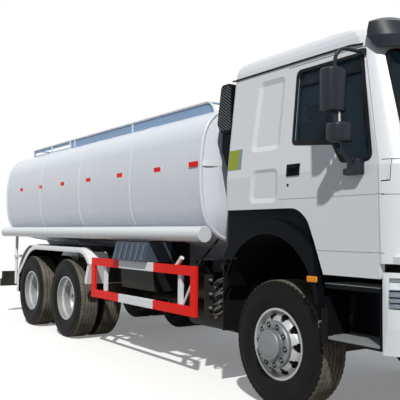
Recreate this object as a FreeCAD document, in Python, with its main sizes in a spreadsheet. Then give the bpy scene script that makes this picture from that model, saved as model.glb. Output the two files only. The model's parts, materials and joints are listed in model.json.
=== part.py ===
import FreeCAD, Part
import math
import os
import Sketcher

# Three-axle tank truck, cab over engine.
# Row frame: +X forward, +Y to the left, +Z up, millimetres.
# Origin on the ground, midway between front bumper and rear underrun bar.
# Lengths named "..._at" are measured forward of the front axle.

os.makedirs("parts", exist_ok=True)
doc = FreeCAD.newDocument("TankTruck")

# Driving dimensions

SIZES = {
    "front_overhang": 1510, "wheelbase": 4325, "bogie_spread": 1350, "rear_overhang": 1705,
    "part_gap": 0.3,
    # tyres and rims
    "tyre_radius": 535, "tyre_width": 306, "tread_width": 262, "bead_radius": 290,
    "rim_flange_radius": 299, "rim_width": 252, "rim_wall": 9, "rim_well_radius": 258,
    "disc_offset": 165, "disc_wall": 12, "disc_flat_radius": 178, "hub_bore_radius": 112,
    "hand_hole_radius": 24, "hand_hole_count": 10, "hand_hole_circle": 222,
    "front_track": 2022, "rear_track": 1830, "twin_spacing": 342,
    "hub_gap": 6, "rear_hub_reach": 150, "drum_radius": 205, "drum_width": 200,
    # steering
    "kingpin_spacing": 1840, "kingpin_radius": 24, "boss_radius": 46, "boss_height": 150,
    "ear_height": 42, "spindle_radius": 36, "steer_gap": 6, "knuckle_wall": 26,
    "steer_arm_length": 290, "steer_arm_inset": 112, "steer_arm_thick": 30, "steer_arm_width": 46,
    "ball_pin_radius": 11, "tie_rod_radius": 19, "tie_eye_radius": 30, "tie_eye_height": 46,
    # ladder frame
    "frame_top": 1050, "rail_height": 300, "rail_flange": 80, "rail_wall": 12, "frame_width": 850,
    "rail_front_at": 1280, "rail_rear_at": -7290, "crossmember_length": 120,
    "bearer_height": 110, "bearer_width": 76, "saddle_half_width": 610,
    # engine and driveline
    "engine_front_at": 900, "engine_length": 1480, "engine_width": 660, "engine_bottom": 560,
    "engine_top": 1560, "gearbox_length": 900, "gearbox_size": 440, "shaft_radius": 55,
    "axle_tube_radius": 88, "flange_reach": 24, "diff_radius": 230,
    # tank
    "tank_front_at": -1030, "tank_rear_at": -6950, "tank_half_width": 1230, "tank_half_height": 780,
    "tank_middle": 2055, "tank_crown_radius": 3600, "tank_side_radius": 1900,
    "tank_corner_radius": 400, "head_depth": 130, "seam_width": 16, "seam_height": 5,
    "rim_ring_width": 34, "rim_ring_height": 10, "seam_first_at": -2490, "seam_pitch": 1440,
    # coaming on the tank
    "coaming_front_at": -1290, "coaming_rear_at": -6640, "coaming_plate_end_at": -5050,
    "coaming_half_width": 870, "coaming_height": 122, "coaming_wall": 8, "coaming_pipe_radius": 11,
    "coaming_strip": 30, "coaming_rail": 48, "coaming_post_width": 50,
    "gusset_first_at": -3080, "gusset_pitch": 1820,
    "manhole_at": -3950, "manhole_radius": 250, "manhole_height": 110, "manhole_wall": 12,
    "lid_radius": 285, "lid_thickness": 22,
    # hose tubes
    "hose_tube_radius": 78, "hose_tube_half_spacing": 1190, "hose_tube_height": 1447,
    "hose_tube_front_at": -1010, "hose_tube_rear_at": -7080,
    # side guards
    "guard_front_at": -1085, "guard_rear_at": -3450, "guard_low": 635, "guard_top": 1130,
    "guard_bar": 95, "guard_depth": 30, "guard_half_width": 1235,
    # rear mudguards
    "mudguard_top": 1245, "mudguard_front_at": -3500, "mudguard_rear_at": -6300,
    "mudguard_flat_front_at": -3900, "mudguard_flat_rear_at": -5720, "mudguard_low": 780,
    "mudguard_rear_low": 470, "mudguard_wall": 14, "mudguard_inner": 640, "mudguard_outer": 1240,
    # boxes on the frame
    "battery_front_at": -2016, "battery_length": 766, "battery_inner": 680, "battery_low": 1136,
    "battery_top": 1350, "battery_cover_out": 1285, "battery_depth": 330, "battery_rib_count": 6,
    "fuel_front_at": -1500, "fuel_length": 1250, "fuel_height": 560, "fuel_width": 600,
    "fuel_low": 560, "fuel_corner": 90,
    "air_tank_radius": 135, "air_tank_length": 800,
    # cab
    "cab_rear_at": -640, "cab_low": 1154, "cab_sill": 1260, "cab_waist": 1950, "cab_gutter": 2880,
    "cab_shoulder": 2990, "cab_roof": 3075, "cab_half_low": 1225, "cab_half_waist": 1230,
    "cab_half_gutter": 1130, "cab_half_shoulder": 1100, "cab_half_roof": 960,
    "cab_front_low": 1470, "cab_front_waist": 1445, "cab_front_gutter": 1195,
    "cab_front_shoulder": 1115, "cab_front_roof": 300, "cab_nose_sweep": 110,
    "cab_corner_length": 190, "cab_corner_width": 200, "cab_rear_corner": 60,
    "cab_wall": 50, "cab_floor_wall": 50, "door_gap": 8,
    "arch_top": 1667, "arch_front_at": 612, "arch_knee_at": 330,
    "tunnel_half_width": 440, "tunnel_top": 1630, "arch_corner": 230,
    "door_rear_at": 140, "door_front_at": 1143, "door_top": 2845, "door_top_front_at": 930,
    "door_bend_height": 1983, "door_bend_at": 1131, "door_open": 70,
    "window_rear_at": 252, "window_low": 2190, "window_top": 2797, "window_top_front_at": 925,
    "window_front_at": 1078, "window_front_low": 1990, "window_step_rear_at": 700,
    "window_step_low": 2145, "window_step_front_at": 800, "window_corner": 38,
    "handle_at": 208, "handle_length": 145, "handle_height": 1930,
    "crease_high": 1738, "crease_low": 1330,
    "dish_depth": 15, "dish_rim": 52,
    "grille_low": 1340, "grille_top": 1880, "grille_half_width": 720, "grille_slot_count": 5,
    "screen_low": 2120, "screen_top": 2815, "screen_half_low": 1100, "screen_half_top": 1050,
    "glass_inset": 24, "glass_wall": 6,
    "mirror_reach": 255, "mirror_width": 190, "mirror_depth": 115, "mirror_post_at": 930,
    "mirror_tube_radius": 13, "mirror_head_low": 2335, "mirror_head_top": 2652,
    "mirror_small_low": 2112, "mirror_small_top": 2246, "mirror_post_low": 2090, "mirror_post_length": 662,
    "tilt_at": 1365, "tilt_height": 1100, "tilt_pin_radius": 16,
    # air intake behind the cab
    "intake_low": 2405, "intake_top": 2872, "intake_out": 1150, "intake_width": 250, "duct_low": 1985,
    "intake_corner": 46,
    # arch trim
    "flare_centre_at": -22, "flare_centre_height": 885, "flare_radius": 572, "flare_width": 125,
    "flare_out": 22, "flare_low_rear": 1240, "flare_low_front": 930, "lining_low_front": 1120,
    # bumper, steps and lamps
    "bumper_rear_at": 1170, "bumper_low": 640, "bumper_top": 1200, "bumper_wall": 40,
    "bumper_setback": 32,
    "lamp_low": 955, "lamp_top": 1165, "lamp_inner": 760, "lamp_rear_at": 1215,
    "step_rear_at": 605, "step_front_at": 1140, "step_low": 655, "step_top": 1085,
    "step_tread": 32, "step_depth": 330, "step_outer": 1200,
    "visor_low": 2815, "visor_top": 3092, "visor_wall": 10, "visor_rear_at": 975,
    "visor_half_width": 1152, "visor_front_at": 1320,
    # rear end
    "underrun_low": 480, "underrun_height": 130, "underrun_half_width": 1180,
    "underrun_wall": 70, "tail_lamp_length": 370, "tail_lamp_height": 130, "tail_lamp_inner": 780,
    "ladder_width": 380, "ladder_length": 1650, "ladder_rung_pitch": 270, "ladder_rung_count": 6,
    "outlet_radius": 55, "outlet_flange_radius": 90, "outlet_bore_radius": 48,
    "flap_at": -700, "flap_wall": 12, "flap_low": 560, "flap_top": 1180, "flap_outer": 1190,
    "flap_inner": 840,
    # interior
    "seat_spacing": 1300, "seat_width": 480, "seat_length": 500, "seat_back_at": -60, "seat_back_wall": 130,
    "seat_top": 2020, "seat_back_top": 2620,
    "dash_rear_at": 950, "dash_front_at": 1290, "dash_half_width": 1100, "dash_low": 1700, "dash_top": 2060,
    "steering_at": 720, "steering_side": 560, "steering_height": 2060, "steering_radius": 230,
    "steering_grip": 30, "steering_hub_radius": 62, "steering_column_radius": 30,
    "steering_column_length": 200,
}

sheet = doc.addObject("Spreadsheet::Sheet", "Dims")
for row, (alias, number) in enumerate(SIZES.items(), 1):
    sheet.set("A%d" % row, alias)
    sheet.set("B%d" % row, str(number))
    sheet.setAlias("B%d" % row, alias)
doc.recompute()


class Value:
    """A number together with the sheet expression that gives it."""

    def __init__(self, number, text):
        self.number = number
        self.text = text

    def joined(self, other, sign, number):
        return Value(number, "(%s %s %s)" % (self.text, sign, other.text))

    def __add__(self, other):
        other = value(other)
        return self.joined(other, "+", self.number + other.number)

    def __sub__(self, other):
        other = value(other)
        return self.joined(other, "-", self.number - other.number)

    def __mul__(self, other):
        other = value(other)
        return self.joined(other, "*", self.number * other.number)

    def __truediv__(self, other):
        other = value(other)
        return self.joined(other, "/", self.number / other.number)

    def __radd__(self, other):
        return value(other) + self

    def __rsub__(self, other):
        return value(other) - self

    def __rmul__(self, other):
        return value(other) * self

    def __neg__(self):
        return value(0) - self


def value(item):
    """A plain number or a Value, as a Value."""
    return item if isinstance(item, Value) else Value(float(item), repr(float(item)))


def root(item):
    return Value(math.sqrt(item.number), "sqrt(%s)" % item.text)


def bind(thing, prop, item):
    """Set one property to a value and tie it to the sheet."""
    thing.setExpression(prop, value(item).text)


class Sizes:
    """Every named size of the sheet as a Value."""


s = Sizes()
for alias, number in SIZES.items():
    setattr(s, alias, Value(float(number), "Dims." + alias))

overall_length = s.front_overhang + s.wheelbase + s.bogie_spread + s.rear_overhang
front_axle = overall_length / 2 - s.front_overhang


def at(distance):
    """Row X of a place given as its distance ahead of the front axle."""
    return front_axle + distance


# Outlines

def rounded(points, radius):
    """A closed outline whose corners are taken off by arcs of one radius. Each arc's ends
    are shares of the edges they lie on, so that they follow the corners."""
    corners = [FreeCAD.Vector(value(p[0]).number, value(p[1]).number, 0) for p in points]
    outline = []
    for i, corner in enumerate(corners):
        before = corners[i - 1] - corner
        after = corners[(i + 1) % len(corners)] - corner
        setback = radius / math.tan(before.getAngle(after) / 2)
        turn = -math.copysign(radius, before.x * after.y - before.y * after.x)
        for neighbour, edge in ((points[i - 1], before), (points[(i + 1) % len(points)], after)):
            share = setback / edge.Length
            outline.append(tuple(value(own) + (value(other) - own) * share
                                 for own, other in zip(points[i], neighbour)))
        outline[-2] += (turn,)
    return outline


def backwards(line):
    """The same open line run the other way, arcs included."""
    turned_line = []
    for i in range(len(line) - 1, -1, -1):
        point = tuple(line[i][:2])
        if i > 0 and len(line[i - 1]) == 3:
            point += (-line[i - 1][2],)
        turned_line.append(point)
    return turned_line


# Makers: sketches, bodies, primitives and booleans

PLANES = {"XY": "XY_Plane", "XZ": "XZ_Plane", "YZ": "YZ_Plane"}


def origin_plane(body, plane):
    return next(f for f in body.Origin.OriginFeatures if f.Role == PLANES[plane])


def sketch(body, name, plane, points, lift=0):
    """A closed outline on a plane of the body. A third number on a point is the radius
    of the arc to the next point, positive where its centre lies to the left."""
    made = body.newObject("Sketcher::SketchObject", name)
    made.AttachmentSupport = (origin_plane(body, plane), [""])
    made.MapMode = "FlatFace"
    bind(made, "AttachmentOffset.Base.z", lift)
    corners = [(value(p[0]), value(p[1])) for p in points]
    vectors = [FreeCAD.Vector(u.number, v.number, 0) for u, v in corners]
    ends = []
    for i, point in enumerate(points):
        first = vectors[i]
        last = vectors[(i + 1) % len(points)]
        if len(point) == 2:
            made.addGeometry(Part.LineSegment(first, last), False)
            ends.append((1, 2))
            continue
        radius = value(point[2]).number
        chord = last - first
        normal = FreeCAD.Vector(-chord.y, chord.x, 0) / chord.Length * math.copysign(1, radius)
        drop = math.sqrt(max(radius ** 2 - chord.Length ** 2 / 4, 0))
        middle = (first + last) / 2 + normal * (drop - abs(radius))
        made.addGeometry(Part.Arc(first, middle, last), False)
        ends.append((1, 2) if radius > 0 else (2, 1))
    for i, point in enumerate(points):
        following = (i + 1) % len(points)
        made.addConstraint(Sketcher.Constraint("Coincident", i, ends[i][1], following, ends[following][0]))
    for i, point in enumerate(points):
        for kind, place in zip(("DistanceX", "DistanceY"), corners[i]):
            index = made.addConstraint(Sketcher.Constraint(kind, -1, 1, i, ends[i][0], place.number))
            bind(made, "Constraints[%d]" % index, place)
        if len(point) == 3:
            radius = value(point[2])
            radius = radius if radius.number > 0 else -radius
            index = made.addConstraint(Sketcher.Constraint("Radius", i, radius.number))
            bind(made, "Constraints[%d]" % index, radius)
    return made


def circle_sketch(body, name, plane, centre, radius, lift=0):
    made = body.newObject("Sketcher::SketchObject", name)
    made.AttachmentSupport = (origin_plane(body, plane), [""])
    made.MapMode = "FlatFace"
    bind(made, "AttachmentOffset.Base.z", lift)
    place = [value(c) for c in centre]
    middle = FreeCAD.Vector(place[0].number, place[1].number, 0)
    made.addGeometry(Part.Circle(middle, FreeCAD.Vector(0, 0, 1), value(radius).number), False)
    for kind, item in zip(("DistanceX", "DistanceY"), place):
        index = made.addConstraint(Sketcher.Constraint(kind, -1, 1, 0, 3, item.number))
        bind(made, "Constraints[%d]" % index, item)
    index = made.addConstraint(Sketcher.Constraint("Radius", 0, value(radius).number))
    bind(made, "Constraints[%d]" % index, radius)
    return made


def pad(name, plane, points, low, high):
    """An outline extruded along the row axis across its plane, from low to high."""
    body = doc.addObject("PartDesign::Body", name)
    lift = -value(high) if plane == "XZ" else low
    feature = body.newObject("PartDesign::Pad", name + "_pad")
    feature.Profile = sketch(body, name + "_outline", plane, points, lift)
    bind(feature, "Length", value(high) - low)
    return body


def turned(name, points):
    """A ring turned about Y. The outline is (radius, Y) points."""
    body = doc.addObject("PartDesign::Body", name)
    outline = sketch(body, name + "_outline", "XY", points)
    feature = body.newObject("PartDesign::Revolution", name + "_turn")
    feature.Profile = outline
    feature.ReferenceAxis = (outline, ["V_Axis"])
    feature.Angle = 360
    return body


def lofted(name, plane, sections):
    """A straight-ruled loft through (lift, points) sections of like outline."""
    body = doc.addObject("PartDesign::Body", name)
    outlines = []
    for number, (lift, points) in enumerate(sections):
        outlines.append(sketch(body, "%s_section_%d" % (name, number), plane, points, lift))
    feature = body.newObject("PartDesign::AdditiveLoft", name + "_loft")
    feature.Profile = outlines[0]
    feature.Sections = outlines[1:]
    feature.Ruled = True
    return body


def place(thing, x, y, z):
    """Tie an object's Placement to a place in the row frame."""
    for axis, item in zip("xyz", (x, y, z)):
        bind(thing, "Placement.Base." + axis, item)
    return thing


def box(name, low, high):
    """A block between two opposite corners."""
    made = doc.addObject("Part::Box", name)
    for prop, first, last in zip(("Length", "Width", "Height"), low, high):
        bind(made, prop, value(last) - first)
    return place(made, *low)


TURNS = {
    "X": FreeCAD.Rotation(FreeCAD.Vector(0, 1, 0), 90),
    "Y": FreeCAD.Rotation(FreeCAD.Vector(1, 0, 0), -90),
    "Z": FreeCAD.Rotation(),
}


def rod(name, radius, start, axis, length):
    """A round bar from a point along a row axis."""
    made = doc.addObject("Part::Cylinder", name)
    bind(made, "Radius", radius)
    bind(made, "Height", length)
    made.Placement = FreeCAD.Placement(FreeCAD.Vector(), TURNS[axis])
    return place(made, *start)


def fuse(name, pieces):
    made = doc.addObject("Part::MultiFuse", name)
    made.Shapes = pieces
    return made


def cut(name, base, tools):
    made = doc.addObject("Part::Cut", name)
    made.Base = base
    made.Tool = tools[0] if len(tools) == 1 else fuse(name + "_tools", tools)
    return made


def common(name, pieces):
    made = doc.addObject("Part::MultiCommon", name)
    made.Shapes = pieces
    return made


def mirrored(name, piece):
    """The same piece on the other side of the truck."""
    made = doc.addObject("Part::Mirroring", name)
    made.Source = piece
    made.Normal = FreeCAD.Vector(0, 1, 0)
    return made


def group(name, pieces):
    """Separate like solids that share a node."""
    made = doc.addObject("Part::Compound", name)
    made.Links = pieces
    return made


def pair(name, piece):
    """A right-hand piece with its left-hand twin, in one node."""
    return group(name, [piece, mirrored(name + "_left_twin", piece)])


nodes = []


def node(name, made):
    """Keep an object as a sub-part: its label names its file."""
    made.Label = name
    nodes.append(made)
    return made


# Wheels

def tyre_ring(name, middle):
    """A tyre whose middle plane lies at Y = middle."""
    half = s.tyre_width / 2
    tread = s.tread_width / 2
    bead = s.rim_width / 2 - s.rim_wall - 9
    shoulder = s.tyre_radius - 34
    flank = s.bead_radius + 70
    return turned(name, [
        (s.bead_radius, middle - bead), (flank, middle - half + 4), (shoulder, middle - half + 3),
        (s.tyre_radius, middle - tread), (s.tyre_radius, middle + tread), (shoulder, middle + half - 3),
        (flank, middle + half - 4), (s.bead_radius, middle + bead)])


def rim_ring(name, middle, side):
    """A drop-centre rim and its dished disc. The disc bows to side, +1 or -1 along Y."""
    def across(distance):
        return middle + side * distance
    edge = s.rim_width / 2
    seat = s.bead_radius - s.part_gap
    well = s.rim_well_radius
    wall = s.rim_wall
    face = s.disc_offset
    outline = [
        (s.rim_flange_radius, across(-edge)), (s.rim_flange_radius, across(wall - edge)),
        (seat, across(wall + 8 - edge)), (seat, across(62 - edge)), (well + wall, across(86 - edge)),
        (well + wall, across(edge - 70)), (seat, across(edge - 48)), (seat, across(edge - wall - 8)),
        (s.rim_flange_radius, across(edge - wall)), (s.rim_flange_radius, across(edge)),
        (seat - wall, across(edge)), (well, across(edge - 44)),
        (well - 30, across(edge - 6)), (s.disc_flat_radius, across(face)),
        (s.hub_bore_radius - 30, across(face)), (s.hub_bore_radius - 30, across(face - s.disc_wall)),
        (s.disc_flat_radius - 4, across(face - s.disc_wall)), (well - 38, across(edge - 22)),
        (well - 2, across(edge - 74)), (well, across(86 - edge)), (seat - wall, across(62 - edge)),
        (seat - wall, across(-edge))]
    return turned(name, outline)


def hand_holes(name, middle, side):
    """Round bars on a ring that cut the hand holes through a disc."""
    body = doc.addObject("PartDesign::Body", name)
    low = middle + side * (s.disc_offset - 140)
    high = middle + side * (s.disc_offset + 30)
    lift = -high if side > 0 else -low
    outline = circle_sketch(body, name + "_outline", "XZ", (s.hand_hole_circle, 0), s.hand_hole_radius, lift)
    feature = body.newObject("PartDesign::Pad", name + "_pad")
    feature.Profile = outline
    feature.Length = 170
    ring = body.newObject("PartDesign::PolarPattern", name + "_ring")
    ring.Originals = [feature]
    ring.Axis = (outline, ["N_Axis"])
    ring.Angle = 360
    bind(ring, "Occurrences", s.hand_hole_count)
    body.Tip = ring
    return body


front_wheel_y = s.front_track / 2
rear_wheel_y = s.rear_track / 2
kingpin_y = s.kingpin_spacing / 2


def front_wheel(name, side):
    """Front wheel about the origin: side is +1 on the left, -1 on the right."""
    tyre = tyre_ring("front_tyre_" + name, value(0))
    rim = rim_ring("rim_shell_" + name, value(0), side)
    holes = hand_holes("rim_holes_" + name, value(0), side)
    hub_in = -side * (front_wheel_y - kingpin_y - s.boss_radius - s.steer_gap - s.knuckle_wall - s.hub_gap)
    disc_back = side * (s.disc_offset - s.disc_wall)
    hub = turned("hub_" + name, [
        (s.spindle_radius + 1, hub_in), (s.hub_bore_radius - 22, hub_in),
        (s.hub_bore_radius - 22, disc_back - side * 30), (s.disc_flat_radius - 6, disc_back - side * 30),
        (s.disc_flat_radius - 6, disc_back), (s.hub_bore_radius - 30, disc_back),
        (s.hub_bore_radius - 30, side * (s.disc_offset + 66)), (1, side * (s.disc_offset + 78)),
        (1, side * (s.disc_offset - 40)), (s.spindle_radius + 1, side * (s.disc_offset - 40))])
    drum = turned("drum_" + name, [
        (s.hub_bore_radius - 22, disc_back - side * 44), (s.drum_radius, disc_back - side * 60),
        (s.drum_radius, disc_back - side * (s.drum_width + 20)),
        (s.drum_radius - 16, disc_back - side * (s.drum_width + 20)),
        (s.drum_radius - 16, disc_back - side * 76), (s.hub_bore_radius - 22, disc_back - side * 62)])
    wheel = fuse("front_rim_" + name, [cut("rim_cut_" + name, rim, [holes]), hub, drum])
    for made in (tyre, wheel):
        place(made, at(0), side * front_wheel_y, s.tyre_radius)
    node("front_tyre_" + name, tyre)
    node("front_rim_" + name, wheel)


def drive_wheel(name, side, x):
    """A twin drive wheel: two tyres, two rims back to back, hub and drum."""
    half = s.twin_spacing / 2
    inner = -side * half
    outer = side * half
    tyres = group("twin_tyres_" + name, [
        tyre_ring("tyre_inner_" + name, inner), tyre_ring("tyre_outer_" + name, outer)])
    rims = []
    for label, middle, bow in (("inner", inner, side), ("outer", outer, -side)):
        shell = rim_ring("rim_%s_%s" % (label, name), middle, bow)
        holes = hand_holes("holes_%s_%s" % (label, name), middle, bow)
        rims.append(cut("rim_cut_%s_%s" % (label, name), shell, [holes]))
    mate = half - s.disc_offset
    hub = turned("hub_" + name, [
        (s.axle_tube_radius - 20, -side * s.rear_hub_reach),
        (s.hub_bore_radius - 2, -side * s.rear_hub_reach),
        (s.hub_bore_radius - 2, -side * (mate + s.disc_wall + 20)),
        (s.disc_flat_radius - 6, -side * (mate + s.disc_wall + 20)),
        (s.disc_flat_radius - 6, side * (mate + s.disc_wall)),
        (s.hub_bore_radius - 30, side * (mate + s.disc_wall)),
        (s.hub_bore_radius - 34, side * 120), (1, side * 132),
        (1, side * 60), (s.axle_tube_radius - 20, side * 60)])
    drum = turned("drum_" + name, [
        (s.hub_bore_radius - 2, -side * 60), (s.drum_radius, -side * 70),
        (s.drum_radius, -side * (s.drum_width + 60)), (s.drum_radius - 16, -side * (s.drum_width + 60)),
        (s.drum_radius - 16, -side * 86), (s.hub_bore_radius - 2, -side * 76)])
    wheel = fuse("twin_rims_" + name, rims + [hub, drum])
    for made in (tyres, wheel):
        place(made, x, side * rear_wheel_y, s.tyre_radius)
    node("twin_tyres_" + name, tyres)
    node("twin_rims_" + name, wheel)


drive_front = at(-s.wheelbase)
drive_rear = at(-s.wheelbase - s.bogie_spread)
for name, side in (("right", -1), ("left", 1)):
    front_wheel(name, side)
    drive_wheel("mid_" + name, side, drive_front)
    drive_wheel("rear_" + name, side, drive_rear)

# Steering knuckles and front axle

axle_z = s.tyre_radius


def knuckle(name, side):
    """Yoke with two ears about the kingpin, spindle and brake plate."""
    def lateral(low, high):
        return (side * low, side * high) if side > 0 else (side * high, side * low)
    half = s.boss_height / 2 + s.steer_gap
    plate_in = s.boss_radius + s.steer_gap
    near, far = lateral(plate_in, plate_in + s.knuckle_wall)
    back = box("knuckle_back_" + name, (-70, near, -half - s.ear_height), (70, far, half + s.ear_height))
    pieces = [back]
    inner, outer = lateral(0, plate_in + 1)
    for label, low in (("upper", half), ("lower", -half - s.ear_height)):
        pieces.append(box("ear_web_%s_%s" % (label, name), (-46, inner, low),
                          (46, outer, low + s.ear_height)))
        pieces.append(rod("ear_%s_%s" % (label, name), s.boss_radius, (0, 0, low), "Z", s.ear_height))
    tip = front_wheel_y - kingpin_y + s.disc_offset - 60
    start = side * (plate_in + 1) if side > 0 else side * tip
    pieces.append(rod("spindle_" + name, s.spindle_radius, (0, start, 0), "Y", tip - plate_in - 1))
    arm_top = -half - s.ear_height + s.steer_arm_thick
    inner, outer = lateral(-s.steer_arm_inset - s.steer_arm_width / 2, 20)
    pieces.append(box("steer_arm_root_" + name, (-s.boss_radius, inner, -half - s.ear_height),
                      (20, outer, arm_top)))
    inner, outer = lateral(-s.steer_arm_inset - s.steer_arm_width / 2,
                           -s.steer_arm_inset + s.steer_arm_width / 2)
    pieces.append(box("steer_arm_" + name, (-s.steer_arm_length, inner, -half - s.ear_height),
                      (-20, outer, arm_top)))
    pin_y = -side * s.steer_arm_inset
    pieces.append(rod("ball_eye_" + name, s.steer_arm_width / 2,
                      (-s.steer_arm_length, pin_y, -half - s.ear_height),
                      "Z", s.steer_arm_thick))
    if side > 0:
        pieces.append(rod("ball_pin_" + name, s.ball_pin_radius,
                          (-s.steer_arm_length, pin_y, -half - s.ear_height - s.tie_eye_height - 12), "Z",
                          s.tie_eye_height + 30))
    whole = fuse("knuckle_solid_" + name, pieces)
    pin = rod("kingpin_hole_" + name, s.kingpin_radius + s.part_gap, (0, 0, -300), "Z", 600)
    made = cut("knuckle_" + name, whole, [pin])
    place(made, at(0), side * kingpin_y, axle_z)
    return node("knuckle_" + name, made)


knuckle("right", -1)
knuckle("left", 1)

# the right-hand end stands free under its arm, since the linkage is opened there
tie_y = kingpin_y - s.steer_arm_inset
tie_x = at(-s.steer_arm_length)
tie_top = axle_z - s.boss_height / 2 - s.steer_gap - s.ear_height - s.steer_gap
tie_foot = tie_top - s.tie_eye_height
tie_pieces = [rod("tie_rod_bar", s.tie_rod_radius, (tie_x, -tie_y, tie_top - s.tie_eye_height / 2), "Y",
                  2 * tie_y)]
for label, side in (("right", -1), ("left", 1)):
    tie_pieces.append(rod("tie_eye_" + label, s.tie_eye_radius, (tie_x, side * tie_y, tie_foot), "Z",
                          s.tie_eye_height))
tie_hole = rod("tie_hole", s.ball_pin_radius + 2 * s.part_gap, (tie_x, tie_y, tie_foot - 10), "Z",
               s.tie_eye_height + 20)
node("tie_rod", cut("tie_rod_solid", fuse("tie_rod_blank", tie_pieces), [tie_hole]))

beam_half = kingpin_y - s.boss_radius
spring_y = s.frame_width / 2 - s.rail_flange / 2
beam = pad("axle_beam", "YZ", [
    (-beam_half - 20, axle_z - 40), (-spring_y - 60, axle_z - 130), (spring_y + 60, axle_z - 130),
    (beam_half + 20, axle_z - 40), (beam_half + 20, axle_z + 40), (spring_y + 80, axle_z - 20),
    (-spring_y - 80, axle_z - 20), (-beam_half - 20, axle_z + 40)], at(-50), at(50))
axle_pieces = [beam]
for label, side in (("right", -1), ("left", 1)):
    axle_pieces.append(rod("axle_boss_" + label, s.boss_radius,
                           (at(0), side * kingpin_y, axle_z - s.boss_height / 2), "Z", s.boss_height))
    axle_pieces.append(rod("kingpin_" + label, s.kingpin_radius,
                           (at(0), side * kingpin_y, axle_z - s.boss_height / 2 - s.steer_gap - s.ear_height),
                           "Z", s.boss_height + 2 * (s.steer_gap + s.ear_height)))
node("front_axle", fuse("front_axle_solid", axle_pieces))

# Ladder frame

rail_low = s.frame_top - s.rail_height
rail_out = s.frame_width / 2
rail_web = rail_out - s.rail_wall
rail = pad("rail_right", "YZ", [
    (-rail_out, rail_low), (-rail_out + s.rail_flange, rail_low),
    (-rail_out + s.rail_flange, rail_low + s.rail_wall),
    (-rail_web, rail_low + s.rail_wall), (-rail_web, s.frame_top - s.rail_wall),
    (-rail_out + s.rail_flange, s.frame_top - s.rail_wall), (-rail_out + s.rail_flange, s.frame_top),
    (-rail_out, s.frame_top)], at(s.rail_rear_at), at(s.rail_front_at))
node("frame_rails", pair("rails", rail))

crossmembers = []
gearbox_rear_at = s.engine_front_at - s.engine_length - s.gearbox_length
cross_places = [s.rail_front_at - s.crossmember_length, gearbox_rear_at - s.crossmember_length - 20,
                gearbox_rear_at - 1220, -s.wheelbase + 420,
                -s.wheelbase - s.bogie_spread / 2, -s.wheelbase - s.bogie_spread - 480, s.rail_rear_at]
for number, distance in enumerate(cross_places):
    crossmembers.append(box("crossmember_%d" % number,
                            (at(distance), -rail_web, rail_low + 60),
                            (at(distance) + s.crossmember_length, rail_web, s.frame_top - 60)))
node("crossmembers", group("crossmember_set", crossmembers))

# Engine, gearbox and driveline

engine = box("engine_block_solid", (at(s.engine_front_at - s.engine_length), -s.engine_width / 2,
                                    s.engine_bottom),
             (at(s.engine_front_at), s.engine_width / 2, s.engine_top))
gearbox = box("gearbox_solid",
              (at(s.engine_front_at - s.engine_length - s.gearbox_length), -s.gearbox_size / 2,
               s.frame_top - 90 - s.gearbox_size),
              (at(s.engine_front_at - s.engine_length), s.gearbox_size / 2, s.frame_top - 90))
node("engine_block", fuse("engine_solid", [engine, gearbox]))


def drive_axle(name, x):
    tube_half = rear_wheel_y - s.drum_width - 80
    tube = rod("axle_tube_" + name, s.axle_tube_radius, (x, -tube_half, axle_z), "Y", 2 * tube_half)
    spindle_half = rear_wheel_y + 40
    spindle = rod("axle_spindle_" + name, s.axle_tube_radius - 21, (x, -spindle_half, axle_z), "Y",
                  2 * spindle_half)
    case = rod("diff_case_" + name, s.diff_radius, (x, -110, axle_z), "Y", 220)
    nose = rod("diff_nose_" + name, 110, (x, 0, axle_z + 40), "X", s.diff_radius + 90)
    flange = rod("diff_flange_" + name, 60, (x - s.diff_radius - s.flange_reach, 0, axle_z + 40), "X", 80)
    return fuse("drive_axle_" + name, [tube, spindle, case, nose, flange])


node("drive_axles", group("drive_axle_set",
                          [drive_axle("front", drive_front), drive_axle("rear", drive_rear)]))

shaft_front = at(s.engine_front_at - s.engine_length - s.gearbox_length) - s.part_gap
shaft_z = axle_z + 40
front_shaft = rod("front_shaft", s.shaft_radius, (drive_front + s.diff_radius + 90 + s.part_gap, 0, shaft_z),
                  "X",
                  shaft_front - drive_front - s.diff_radius - 90 - 2 * s.part_gap)
rear_shaft = rod("rear_shaft", s.shaft_radius, (drive_rear + s.diff_radius + 90 + s.part_gap, 0, shaft_z),
                 "X",
                 s.bogie_spread - 2 * s.diff_radius - 90 - s.flange_reach - 2 * s.part_gap)
node("propshafts", group("propshaft_set", [front_shaft, rear_shaft]))

# Leaf springs

spring_top = rail_low - 30
leaf_front = pad("front_leaf", "XZ", [
    (at(-780), spring_top), (at(-90), axle_z - 20 + s.part_gap, ), (at(90), axle_z - 20 + s.part_gap),
    (at(780), spring_top), (at(780), rail_low - s.part_gap), (at(700), rail_low - s.part_gap),
    (at(90), axle_z + 90), (at(-90), axle_z + 90), (at(-700), rail_low - s.part_gap),
    (at(-780), rail_low - s.part_gap)],
    -spring_y - 40, -spring_y + 40)
bogie_middle = drive_front - s.bogie_spread / 2
leaf_z = axle_z + s.axle_tube_radius + s.part_gap
leaf_rear = pad("rear_leaf", "XZ", [
    (drive_rear - 130, leaf_z), (drive_rear + 130, leaf_z), (bogie_middle - 150, leaf_z + 60),
    (bogie_middle + 150, leaf_z + 60), (drive_front - 130, leaf_z), (drive_front + 130, leaf_z),
    (drive_front + 130, leaf_z + 30), (bogie_middle + 150, rail_low - s.part_gap),
    (bogie_middle - 150, rail_low - s.part_gap), (drive_rear - 130, leaf_z + 30)],
    -spring_y - 45, -spring_y + 45)
node("leaf_springs", group("leaf_spring_set", [
    leaf_front, mirrored("front_leaf_left", leaf_front), leaf_rear, mirrored("rear_leaf_left", leaf_rear)]))

# Tank shell

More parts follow.
